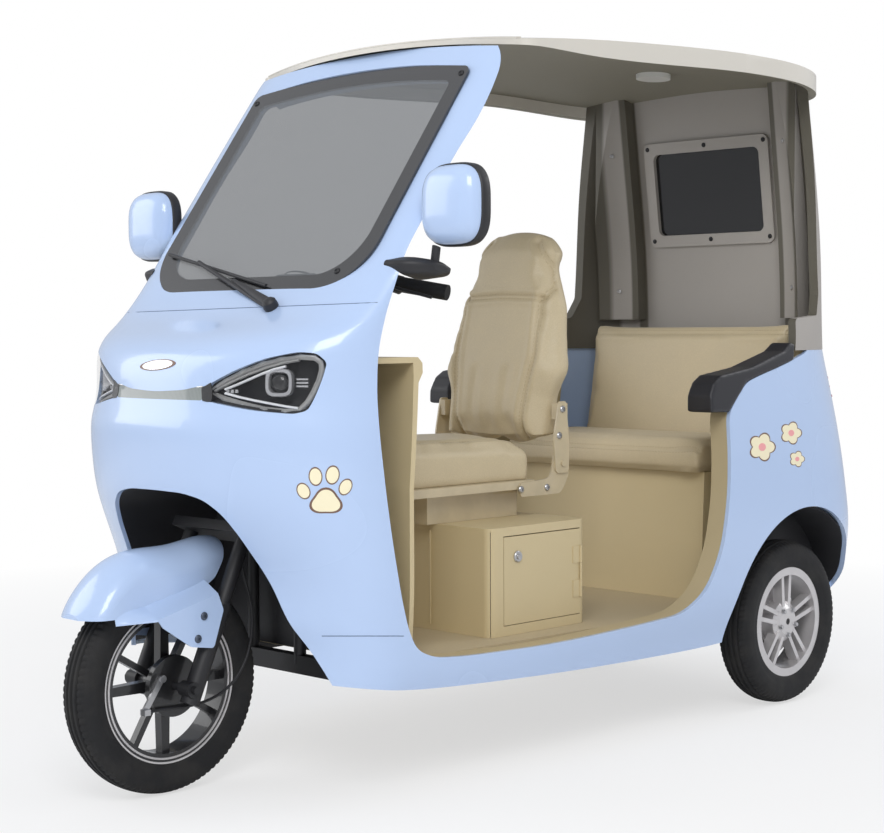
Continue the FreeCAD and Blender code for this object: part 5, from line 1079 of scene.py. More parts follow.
@dataclass
class Cushion(Assembly):
    """A padded piece swollen from its solid and then sewn."""

    node: str
    body: str
    voxel: float = 0.007
    inset: float = 0.007
    cap: float = 0.014
    pressure: float = 4.0
    fill: float = 0.7
    rounding: int = 6
    relaxing: int = 6
    seams: tuple[Seam, ...] = ()
    rests: tuple[tuple[int, int], ...] = ()
    reshape: Callable[[Vector], Vector] | None = None

    def build(self) -> None:
        """Make the piece."""
        source = self.frame["nodes"][self.node]
        mesh = source.data.copy()
        shape = bmesh.new()
        shape.from_mesh(mesh)
        bmesh.ops.remove_doubles(shape, verts=shape.verts, dist=0.00005)
        shape.to_mesh(mesh)
        shape.free()
        low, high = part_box(self.node)
        mesh = modified(mesh, "REMESH", mode="VOXEL", voxel_size=self.voxel)
        mesh = modified(mesh, "SMOOTH", factor=0.6, iterations=self.rounding)
        self.shrink(mesh)
        self.swell(mesh)
        mesh = modified(mesh, "SMOOTH", factor=0.5, iterations=self.relaxing)
        if self.reshape:
            for vertex in mesh.vertices:
                vertex.co = self.reshape(vertex.co)
        self.settle(mesh, low, high)
        mesh = modified(mesh, "SUBSURF", levels=1)
        self.sew(mesh)
        mesh.polygons.foreach_set("use_smooth", [True] * len(mesh.polygons))
        mesh.name = self.node + "_padded"
        piece = self.add(self.node + "_padded", mesh, "seat_vinyl", self.body)
        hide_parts(self.node)
        self.stitches(piece)

    def shrink(self, mesh: bpy.types.Mesh) -> None:
        """Draw the surface in before it swells.

        Args:
            mesh: the cover.
        """
        normals = [vertex.normal.copy() for vertex in mesh.vertices]
        for vertex, normal in zip(mesh.vertices, normals):
            vertex.co -= normal * self.inset

    def swell(self, mesh: bpy.types.Mesh) -> None:
        """Blow the cover up with cloth under pressure, and keep the result.

        Args:
            mesh: the cover.
        """
        holder = bpy.data.objects.new("holder", mesh)
        scene = bpy.context.scene
        scene.collection.objects.link(holder)
        start = [vertex.co.copy() for vertex in mesh.vertices]
        cloth = holder.modifiers.new("swell", "CLOTH")
        cloth.settings.quality = 4
        cloth.settings.use_pressure = True
        cloth.settings.uniform_pressure_force = self.pressure
        cloth.settings.effector_weights.gravity = 0.0
        cloth.point_cache.frame_start = 1
        cloth.point_cache.frame_end = SWELL_FRAMES
        for number in range(1, SWELL_FRAMES + 1):
            scene.frame_set(number)
        graph = bpy.context.evaluated_depsgraph_get()
        moved = [vertex.co.copy() for vertex in holder.evaluated_get(graph).data.vertices]
        bpy.data.objects.remove(holder)
        scene.frame_set(1)
        for vertex, old, new in zip(mesh.vertices, start, moved):
            step = new - old
            if step.length > self.cap:
                step *= self.cap / step.length
            vertex.co = old + step

    def settle(self, mesh: bpy.types.Mesh, low: Vector, high: Vector) -> None:
        """Flatten it where it rests on something.

        Args:
            mesh: the cover.
            low: the solid's low corner.
            high: the solid's high corner.
        """
        for vertex in mesh.vertices:
            for axis, side in self.rests:
                limit = high[axis] if side > 0 else low[axis]
                if (vertex.co[axis] - limit) * side > -self.inset:
                    vertex.co[axis] = limit

    def lines(self) -> list[tuple[Seam, list[Vector]]]:
        """Every seam's points in the row frame, the mirrored ones too.

        Returns:
            Each seam with its points.
        """
        found = []
        for seam in self.seams:
            found.append((seam, [at(*point) for point in seam.points]))
            if seam.mirrored:
                found.append((seam, [at(-x, y, z) for x, y, z in seam.points]))
        return found

    def sew(self, mesh: bpy.types.Mesh) -> None:
        """Press the seams in and raise the padding beside them.

        Args:
            mesh: the cover.
        """
        mesh.update()
        normals = [vertex.normal.copy() for vertex in mesh.vertices]
        for seam, line in self.lines():
            way = Vector(seam.way).normalized()
            for vertex, normal in zip(mesh.vertices, normals):
                if normal.dot(way) < SEAM_FACING:
                    continue
                gap = polyline_gap(vertex.co, line, way)
                if gap < seam.width * SEAM_REACH:
                    share = gap / seam.width
                    ridge = RIDGE_SHARE * math.exp(-(share - RIDGE_AT) ** 2)
                    vertex.co += normal * seam.depth * (ridge - math.exp(-share * share))

    def stitches(self, piece: bpy.types.Object) -> None:
        """Lay a row of stitches each side of every seam.

        Args:
            piece: the finished cushion.
        """
        form = Form()
        tree = BVHTree.FromPolygons([vertex.co for vertex in piece.data.vertices],
                                    [tuple(face.vertices) for face in piece.data.polygons])
        back = Vector((0.0, ORIGIN_Y, 0.0))

        def landed(spot: Vector, way: Vector) -> Vector | None:
            """Where a stitch's end meets the cover."""
            point, normal, _, _ = tree.ray_cast(spot + way * STITCH_PROBE, -way, 2 * STITCH_PROBE)
            return None if point is None else point + normal * STITCH_LIFT + back

        for seam, line in self.lines():
            if not seam.stitched:
                continue
            way = Vector(seam.way).normalized()
            for start, end in zip(line, line[1:]):
                run = end - start
                side = run.cross(way).normalized() * STITCH_OFFSET
                count = max(1, int(run.length / STITCH_PITCH))
                for number in range(count):
                    for offset in (side, -side):
                        shares = [(number + place) / count for place in STITCH_ENDS]
                        ends = [landed(start + run * share + offset, way) for share in shares]
                        if all(ends):
                            form.tube(ends, STITCH_RADIUS, 5)
        self.add(self.node + "_stitches", form, "thread", self.body, "seat_vinyl")


def back_seams() -> tuple[Seam, ...]:
    """The driver's backrest: a bolster seam each side, a head seam and two soft channels.

    Returns:
        The seams.
    """
    ahead = (0.0, -1.0, 0.15)
    drawn_y = 1.0
    bolster = ((0.078, 1.190), (0.104, 1.155), (0.124, 1.115), (0.133, 1.075), (0.124, 1.04),
               (0.126, 0.98), (0.130, 0.90), (0.118, 0.82), (0.106, 0.70))
    head = ((-0.124, 1.045), (0.0, 1.05), (0.124, 1.045))
    channel = ((0.05, 0.74), (0.052, 0.86))
    outer, upper, inner = (tuple((x, drawn_y, z) for x, z in row) for row in (bolster, head, channel))
    return (Seam(outer, ahead, 0.007, 0.008, mirrored=True), Seam(upper, ahead, 0.006, 0.007),
            Seam(inner, ahead, 0.0025, 0.012, mirrored=True, stitched=False))


def seat_seams() -> tuple[Seam, ...]:
    """The driver's cushion: a seam inside each bolster and one across behind the nose.

    Returns:
        The seams.
    """
    top = 0.69
    bolster = tuple((x, y, top) for x, y in ((0.118, 0.50), (0.122, 0.60), (0.122, 0.86), (0.110, 0.95)))
    nose = tuple((x, y, top) for x, y in ((-0.116, 0.545), (0.0, 0.535), (0.116, 0.545)))
    return (Seam(bolster, UPWARDS, 0.006, 0.008, mirrored=True), Seam(nose, UPWARDS, 0.005, 0.008))


def bench_seams(part: BenchPart) -> tuple[Seam, ...]:
    """The welt along the bench cushion's front or the bench backrest's top.

    Args:
        part: which of the two.

    Returns:
        Its seam.
    """
    if part is BenchPart.CUSHION:
        half, y, z = 0.335, 1.412, 0.67
        return (Seam(((-half, y, z), (half, y, z)), UPWARDS, 0.004, 0.008),)
    half, y, z = 0.33, 1.74, 0.95
    return (Seam(((-half, y, z), (half, y, z)), FORWARDS, 0.0035, 0.008),)


def eased(value: float, start: float, over: float) -> float:
    """0 up to a start, 1 past a width over it, and smooth between."""
    share = max(0.0, min(1.0, (value - start) / over))
    return share * share * (3.0 - 2.0 * share)


def bucket_back(point: Vector) -> Vector:
    """Round the backrest's top, widen it and bring its foot down to the seat.

    Args:
        point: a point of the swollen backrest.

    Returns:
        Its new place.
    """
    half_width, wider_shoulders, wider_head = 0.13, 0.21, 0.27
    rise, corner_drop, corner_limit, corner_power = 0.014, 0.055, 1.25, 2.2
    foot_drop, foot_middle = 0.026, 0.024
    head = eased(point.z, 1.02, 0.18)
    side = abs(point.x) / half_width
    neck = eased(point.z, 0.97, 0.13)
    shoulders = eased(point.z, 0.79, 0.08)
    wide = 1.0 + wider_shoulders * shoulders * (1.0 - neck) + wider_head * neck
    drop = corner_drop * head * min(side, corner_limit) ** corner_power
    low = 1.0 - eased(point.z, 0.72, 0.08)
    foot = (foot_drop + foot_middle * max(0.0, 1.0 - side * side)) * low
    return Vector((point.x * wide, point.y, point.z + rise * head - drop - foot))


def saddle(point: Vector) -> Vector:
    """Crown the driver's cushion, lower its nose and hang its skirt over the tray.

    Args:
        point: a point of the swollen cushion.

    Returns:
        Its new place.
    """
    skirt_top, skirt_over, skirt_drop = 0.645, 0.03, 0.030
    crown_height, crown_half, nose_drop, nose_y, nose_over = 0.012, 0.09, 0.014, 0.56, 0.10
    skirt = max(0.0, min(1.0, (skirt_top - point.z) / skirt_over))
    top = eased(point.z, 0.66, 0.03)
    nose = eased(nose_y - (point.y + ORIGIN_Y), 0.0, nose_over)
    crown = crown_height * math.exp(-(point.x / crown_half) ** 2) - nose_drop * nose
    return Vector((point.x, point.y, point.z - skirt_drop * skirt + top * crown))


@dataclass
class Upholstery(Assembly):
    """The driver's seat, the bench and the arm pads."""

    arm_voxel: float = 0.004
    arm_rounding: int = 10

    def build(self) -> None:
        """Make every padded piece."""
        Cushion(self.frame, "seat_cushion", "vehicle", rests=((2, -1),), seams=seat_seams(),
                reshape=saddle, cap=0.016).build()
        Cushion(self.frame, "seat_back", "seat_back_body", seams=back_seams(), cap=0.018,
                reshape=bucket_back, rounding=9, relaxing=10).build()
        for part in BenchPart:
            Cushion(self.frame, part.value, "vehicle", voxel=0.008, rests=((2, -1), (1, 1)),
                    seams=bench_seams(part), cap=0.016).build()
        self.arm_pads()

    def arm_pads(self) -> None:
        """Round the arm pads off."""
        mesh = self.frame["nodes"]["armrests"].data.copy()
        mesh = modified(mesh, "REMESH", mode="VOXEL", voxel_size=self.arm_voxel)
        mesh = modified(mesh, "SMOOTH", factor=0.6, iterations=self.arm_rounding)
        mesh.polygons.foreach_set("use_smooth", [True] * len(mesh.polygons))
        piece = self.add("arm_pads", mesh, "arm_foam", "vehicle", "black_plastic")
        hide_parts("armrests")


# Wheels


@dataclass
class Wheel(Assembly):
    """A tyre with its tread."""

    tag: str
    tyre: str
    body: str
    centre: Point
    radius: float
    bead: float
    width: float
    blocks: int = 96
    tread_half: float = 0.42
    tread_steps: int = 25
    grooves: Pair = (0.2, 0.58)
    groove_half: float = 0.05
    groove_depth: float = 0.005
    crown_drop: float = 0.13
    crown_power: float = 2.6
    cut_depth: float = 0.0024
    cut_reach: float = 0.35
    cut_from: float = 0.5
    cut_to: float = 0.97
    slant: float = 0.045

    def build(self) -> None:
        """Make the tyre."""
        rings = [[self.point(turn, along, high, number % 3 == 0) for along, high in self.section()]
                 for number, turn in enumerate(turns(self.blocks * 3))]
        form = Form().loft(rings, capped=False, looped=True)
        piece = self.add(self.tag + "_tread", form, "tyre_rubber", self.body, sharp=38.0)
        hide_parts(self.tyre)

    def section(self) -> list[Pair]:
        """The tyre's section as width share and radius, once round.

        Returns:
            The section's points.
        """
        rise = self.radius - self.bead
        middle = self.tread_steps // 2
        tread = []
        for step in range(self.tread_steps):
            share = step / middle - 1
            groove = any(abs(abs(share) - place) < self.groove_half for place in self.grooves)
            crown = self.radius - rise * self.crown_drop * abs(share) ** self.crown_power
            tread.append((share * self.tread_half, crown - (self.groove_depth if groove else 0.0)))
        side = ((0.465, 0.79), (0.487, 0.70), (0.493, 0.66), (0.497, 0.64), (0.500, 0.55), (0.494, 0.44),
                (0.486, 0.34), (0.476, 0.31), (0.462, 0.22), (0.440, 0.12), (0.420, 0.05), (0.380, 0.0))
        right = [(wide, self.bead + rise * high) for wide, high in side]
        return tread + right + [(-wide, high) for wide, high in reversed(right)]

    def point(self, turn: float, along: float, high: float, cut: bool) -> Vector:
        """One point of the tyre.

        Args:
            turn: the angle round the wheel.
            along: the share of the width.
            high: the radius.
            cut: the point may lie in a cross groove.

        Returns:
            The point from the front axle.
        """
        rim_side = abs(along) * 2
        worn = high > self.radius - self.cut_reach * (self.radius - self.bead)
        if cut and worn and self.cut_from < rim_side < self.cut_to:
            high -= self.cut_depth
        turn += self.slant * rim_side
        x, y, z = self.centre
        return Vector((x + along * self.width, y + math.sin(turn) * high, z + math.cos(turn) * high))


@dataclass
class FrontWheel(Wheel):
    """The front wheel with its machined flange lines and valve."""

    flange_in: float = 0.0255
    flange_out: float = 0.0300
    flange_crown: float = 0.0306
    flange_ease: float = 0.0008
    flange_lines: tuple[Pair, Pair] = ((0.1500, 0.1555), (0.1590, 0.1675))
    valve_line: tuple[Point, ...] = ((0.0, 0.052, 0.140), (0.012, 0.050, 0.128), (0.022, 0.048, 0.118))

    def build(self) -> None:
        """Make the tyre, the bright flange rings and the valve."""
        super().build()
        rings = Form()
        for side in (-1, 1):
            for low, high in self.flange_lines:
                profile = ((self.flange_in, low), (self.flange_out, low + self.flange_ease),
                           (self.flange_crown, (low + high) / 2), (self.flange_out, high - self.flange_ease),
                           (self.flange_in, high))
                rings.turned(profile, self.centre, (side, 0, 0), 96, looped=True)
        self.add("front_flange_lines", rings, "silver_alloy", self.body)
        axle = self.centre[2]
        valve = Form().tube([(x, y, axle + high) for x, y, high in self.valve_line], 0.0035, 10)
        self.add("front_valve", valve, "bare_steel", self.body)


@dataclass
class RearWheel(Wheel):
    """A rear wheel with lug bolts and a domed hub cap."""

    skin_node: str = "rear_rim_left"
    lugs: int = 5
    lug_reach: float = 0.034
    cap_profile: tuple[Pair, ...] = ((-0.002, 0.022), (0.003, 0.0225), (0.006, 0.021), (0.0085, 0.015),
                                     (0.0092, 0.006), (0.0092, 0.0005))
    cap_screws: int = 6
    cap_screw_out: float = 0.0078
    cap_screw_reach: float = 0.0155

    def build(self) -> None:
        """Make the tyre, the lug bolts and the hub cap."""
        super().build()
        x, y, z = self.centre
        side = 1.0 if x > 0 else -1.0
        way = Vector((side, 0, 0))
        skin = Skin(self.frame, self.skin_node)
        bolts = Form()
        for number in range(self.lugs):
            turn = math.tau * (number + 0.5) / self.lugs
            spot = skin.from_side(y + math.sin(turn) * self.lug_reach,
                                  z + math.cos(turn) * self.lug_reach, side)
            if spot:
                bolts.bolt(spot[0], way, 0.0055, 0.007)
        self.add(self.tag + "_lug_bolts", bolts, "bare_steel", self.body)
        spot = skin.from_side(y, z, side)
        if spot:
            cap = Form().turned(self.cap_profile, spot[0], way, 40)
            for turn in turns(self.cap_screws):
                point = spot[0] + Vector((side * self.cap_screw_out, math.sin(turn) * self.cap_screw_reach,
                                          math.cos(turn) * self.cap_screw_reach))
                cap.dome(point, way, 0.0014, 0.001, 10)
            self.add(self.tag + "_hub_cap", cap, "silver_alloy", self.body)


# Lamps


@dataclass
class Lamps(Assembly):
    """The works inside the lamps, placed by pixels of the photograph's frame where it shows them."""

    guide_depth: float = 0.0125
    cell_depth: float = 0.0135
    works_depth: float = 0.020
    upper_guide: tuple[Pair, ...] = ((222, 389), (234, 384.5), (247, 379), (260, 373.5), (272, 369),
                                     (284, 366))
    lower_guide: tuple[Pair, ...] = ((222, 393), (236, 396.5), (252, 400), (268, 403), (284, 405.5),
                                     (297, 407.5))
    cells: tuple[Pair, ...] = ((224, 391), (228.5, 391), (233, 391))
    cell_way: Point = (0.35, -0.93, 0.1)
    middle: Pair = (276, 383)
    bezel_way: Point = (0.55, -0.83, 0.05)
    bezel_power: float = 0.55
    bezel: tuple[Pair, ...] = ((0.0285, -0.012), (0.0285, 0.004), (0.0270, 0.0070), (0.0210, 0.0070),
                               (0.0195, 0.003), (0.0190, -0.012))
    lens: tuple[Pair, ...] = ((-0.012, 0.0185), (-0.004, 0.0185), (0.0, 0.0165), (0.0028, 0.012),
                              (0.0042, 0.006), (0.0046, 0.0006))
    fin_start: float = 0.036
    fin_run: float = 0.024
    fin_step: float = 0.007
    fin_out: float = 0.002
    edge: tuple[Pair, ...] = ((207, 391), (222, 381), (240, 371), (260, 363), (280, 358), (300, 355.5),
                              (314, 357), (321, 362), (322, 370), (319, 381), (313, 393), (307, 402),
                              (299, 409), (284, 411), (262, 408.5), (240, 403.5), (222, 398.5))
    inner_edge: tuple[Pair, ...] = ((212, 390.5), (228, 382), (246, 374), (264, 367), (282, 362),
                                    (298, 359.5))
    inner_depth: float = 0.0130
    bar_start_y: float = -0.3
    bar_half: float = 0.145
    bar_lines: tuple[Pair, Pair] = ((0.8240, 0.004), (0.8490, 0.0065))
    bar_drop: float = 0.006
    tail_start: Pair = (0.366, 0.782)
    tail_step: Pair = (0.011, 0.024)
    tail_count: tuple[int, int] = (5, 3)

    def __post_init__(self) -> None:
        """Gather the head lamps' lens."""
        self.lens_skin = Skin(self.frame, "headlamps")

    def build(self) -> None:
        """Make the head lamps' guides, projector and chrome, the bar's lines and the tail cells."""
        self.guides()
        self.projector()
        self.surround()
        self.bar()
        self.tail()

    def under(self, pixels: Iterable[Pair], depth: float) -> list[Vector]:
        """Points below the lens at these pixels."""
        return [point - normal * depth for point, normal in self.spots(self.lens_skin, pixels)]

    def guides(self) -> None:
        """Lay the pale light guides that meet at the lamp's inner corner, and its cells."""
        form = Form()
        for row in (self.upper_guide, self.lower_guide):
            form.tube(self.under(row, self.guide_depth), 0.0050, 10, flat=0.55)
        self.add("lamp_guides", form.both(), "light_guide", "vehicle", "lamp_lens")
        cells = Form()
        for point in self.under(self.cells, self.cell_depth):
            cells.dome(point, Vector(self.cell_way), 0.005, 0.002, 4)
        self.add("lamp_cells", cells.both(), "chrome", "vehicle", "bare_steel")

    def projector(self) -> None:
        """Set the square projector with its bezel, lens and fins."""
        middle = self.under((self.middle,), self.works_depth)[0]
        way = Vector(self.bezel_way).normalized()
        side = Vector(UPWARDS).cross(way).normalized()
        rise = way.cross(side)
        outline = [rounded(turn, self.bezel_power) for turn in turns(40)]
        bezel = Form().loft([[middle + way * along + side * (size * across) + rise * (size * up)
                              for across, up in outline] for size, along in self.bezel],
                            capped=False, looped=True)
        for number in range(3):
            high = self.fin_step - self.fin_step * number
            base = middle + side * self.fin_start + rise * high + way * self.fin_out
            bezel.tube((base, base + side * self.fin_run), 0.0022, 8)
        self.add("lamp_projector_bezel", bezel.both(), "chrome", "vehicle", "bare_steel")
        lens = Form().turned(self.lens, middle, way, 36)
        self.add("lamp_projector_lens", lens.both(), "black_border", "vehicle")

    def surround(self) -> None:
        """Run the chrome strip round inside the lens's edge."""
        form = Form().tube(self.under(self.edge, self.guide_depth), 0.0062, 10, looped=True, flat=0.5)
        form.tube(self.under(self.inner_edge, self.inner_depth), 0.0075, 10, flat=0.4)
        self.add("lamp_surround", form.both(), "lamp_trim", "vehicle", "bare_steel")

    def bar(self) -> None:
        """Draw the two chrome lines across the light bar."""
        skin = Skin(self.frame, "light_bar")
        lines = Form()
        for high, bow in self.bar_lines:
            points = []
            for step in range(25):
                x = (step / 12 - 1) * self.bar_half
                lift = bow * (x / self.bar_half) ** 2
                spot = skin.cast((x, self.bar_start_y, high - self.bar_drop + lift), BACKWARDS)
                if spot:
                    points.append(spot[0])
            if len(points) > 3:
                lines.tube(points, 0.0011, 8)
        self.add("light_bar_lines", lines, "chrome", "vehicle", "bare_steel")

    def tail(self) -> None:
        """Set rows of lamp cells on each tail lamp's face."""
        skin = Skin(self.frame, "tail_lamps")
        form = Form()
        for column in range(self.tail_count[0]):
            for row in range(self.tail_count[1]):
                spot = skin.from_behind(self.tail_start[0] + column * self.tail_step[0],
                                        self.tail_start[1] + row * self.tail_step[1])
                if spot:
                    form.dome(spot[0], spot[1], 0.0042, 0.0022, 12)
        self.add("tail_lamp_cells", form.both(), "tail_lens")


# Fasteners


@dataclass
class Fasteners(Assembly):
    """The screws and bolts that show, by pixels of the photograph's frame or by their places."""

    windscreen_pixels: tuple[Pair, ...] = ((257, 104), (461, 73), (337, 271), (145, 284))
    wall_places: tuple[Pair, ...] = ((0.292, 1.456), (0.297, 1.069))
    window_places: tuple[Pair, ...] = ((0.198, 1.211), (0.0, 1.211), (0.198, 1.470), (0.0, 1.470))
    mudguard_places: tuple[Pair, ...] = ((0.025, 0.378), (0.009, 0.333))
    seat_places: tuple[Pair, ...] = ((0.895, 0.586), (0.986, 0.585), (1.037, 0.638))
    recliner_places: tuple[Pair, ...] = ((1.025, 0.707), (1.037, 0.770))

    def build(self) -> None:
        """Set every screw and bolt on what it holds."""
        pane = self.spots(Skin(self.frame, "windscreen_border"), self.windscreen_pixels)
        self.add("windscreen_screws", self.screws(pane, 0.0075), "black_steel")
        for name, node, finish, places in (
                ("wall_screws", "rear_shell", "bare_steel", self.wall_places),
                ("window_screws", "rear_window_frame", "black_steel", self.window_places)):
            skin = Skin(self.frame, node)
            found = [skin.cast((x, INSIDE_Y, z), BACKWARDS) for x, z in places]
            self.add(name, self.screws([spot for spot in found if spot], 0.0065).both(), finish)
        for name, node, body, finish, places in (
                ("mudguard_bolts", "front_fender", "steering", "grey_bolt", self.mudguard_places),
                ("seat_bolts", "seat_frame", "vehicle", "bare_steel", self.seat_places),
                ("recliner_bolts", "recliner_arms", "seat_back_body", "bare_steel", self.recliner_places)):
            skin = Skin(self.frame, node)
            form = Form()
            for spot in (skin.from_side(y, z) for y, z in places):
                if spot:
                    form.dome(spot[0], Vector(LEFTWARDS), 0.0085, 0.0045, 20)
            self.add(name, form.both(), finish, body, "bare_steel")

    def screws(self, spots: Iterable[Hit], radius: float) -> Form:
        """Screws of one radius at these points, half as high as they are wide.

        Args:
            spots: the points with their normals.
            radius: a screw's radius.

        Returns:
            Their form.
        """
        form = Form()
        for point, normal in spots:
            form.dome(point, normal, radius, radius * 0.5)
        return form


# Stickers

STICKER_ROOT = -0.0002
STICKER_RINGS = (0.99, 0.66, 0.33, 0.03)


def lay(form: Form, skin: Skin, outline: Sequence[Pair], size: float, lift: float) -> None:
    """Lay one closed shape on a surface.

    Args:
        form: the form that it joins.
        skin: the surface.
        outline: its pixels in the photograph's frame.
        size: its size as a share of the outline.
        lift: how far its face stands off the surface.
    """
    across = sum(point[0] for point in outline) / len(outline)
    down = sum(point[1] for point in outline) / len(outline)
    rings = []
    for share, high in ((1.0, STICKER_ROOT), *((share, lift) for share in STICKER_RINGS)):
        spots = [EYE.on(skin, across + (u - across) * size * share, down + (v - down) * size * share)
                 for u, v in outline]
        if not all(spots):
            return
        rings.append([point + normal * high for point, normal in spots])
    form.loft(rings)


def oval(across: float, down: float, wide: float, high: float, lean: float = 0.0,
         steps: int = 28) -> list[Pair]:
    """Draw an oval in pixels of the photograph's frame.

    Args:
        across: its middle's column.
        down: its middle's row.
        wide: half its width.
        high: half its height.
        lean: how far it is turned, in radians.
        steps: its points.

    Returns:
        The outline.
    """
    found = []
    for turn in turns(steps):
        x, y = math.cos(turn) * wide, math.sin(turn) * high
        found.append((across + x * math.cos(lean) - y * math.sin(lean),
                      down + x * math.sin(lean) + y * math.cos(lean)))
    return found


@dataclass
class Stickers(Assembly):
    """A plain paw print at the front and three blossoms at the back, as thin film."""

    line_lift: float = 0.0004
    fill_lift: float = 0.0007
    heart_lift: float = 0.0010
    toes: tuple[tuple[float, ...], ...] = ((303.5, 491, 6.6, 8.8, -0.5), (315.5, 476.5, 7.0, 9.6, -0.1),
                                           (332.5, 475, 7.2, 9.8, 0.15), (345.5, 487, 6.4, 9.0, 0.5))
    pad_middle: Pair = (326, 502.0)
    pad_half: Pair = (16.0, 13.0)
    flowers: tuple[Point, ...] = ((762, 447, 15.0), (791, 433, 12.0), (797, 459, 8.5))

    def build(self) -> None:
        """Lay both stickers on both sides."""
        self.paw()
        self.blossoms()

    def paw(self) -> None:
        """Lay four toes and a pad."""
        skin = Skin(self.frame, "front_cowl", "side_panel_left")
        shapes = [oval(*toe) for toe in self.toes]
        pad = []
        for turn in turns(40):
            reach = 1.0 + 0.13 * math.cos(3 * turn + math.pi / 2)
            pad.append((self.pad_middle[0] + math.cos(turn) * self.pad_half[0] * reach,
                        self.pad_middle[1] - math.sin(turn) * self.pad_half[1] * reach))
        self.outlined("paw_print", skin, [*shapes, pad], 0.85, "sticker_cream")

    def blossoms(self) -> None:
        """Lay the five petalled blossoms with their hearts."""
        skin = Skin(self.frame, "side_panel_left")
        petals = []
        hearts = Form()
        for across, down, size in self.flowers:
            outline = []
            for turn in turns(60):
                reach = 0.72 + 0.28 * abs(math.cos(2.5 * turn))
                outline.append((across + math.cos(turn) * size * reach * 0.93,
                                down + math.sin(turn) * size * reach))
            petals.append(outline)
            lay(hearts, skin, oval(across, down, size * 0.24, size * 0.26), 1.0, self.heart_lift)
        self.outlined("blossoms", skin, petals, 0.9, "sticker_cream")
        self.add("blossom_hearts", hearts.both(), "sticker_pink")

    def outlined(self, name: str, skin: Skin, shapes: Iterable[Sequence[Pair]], inner: float,
                 finish: str) -> None:
        """Lay shapes with a brown line round each.

        Args:
            name: the piece's name.
            skin: the surface.
            shapes: their outlines in pixels.
            inner: the filled part's size as a share.
            finish: the filled part's finish.
        """
        line, fill = Form(), Form()
        for shape in shapes:
            lay(line, skin, shape, 1.0, self.line_lift)
            lay(fill, skin, shape, inner, self.fill_lift)
        self.add(name + "_line", line.both(), "sticker_brown")
        self.add(name, fill.both(), finish)


# Trim and fittings


def lock_profile(radius: float, height: float, plug: float) -> tuple[Pair, ...]:
    """A round lock's profile: its flange's radius, and its plug's height and radius."""
    return ((-0.001, radius), (0.003, radius), (0.005, radius - 0.002), (0.005, radius - 0.006),
            (height, plug), (height + 0.0005, 0.004))


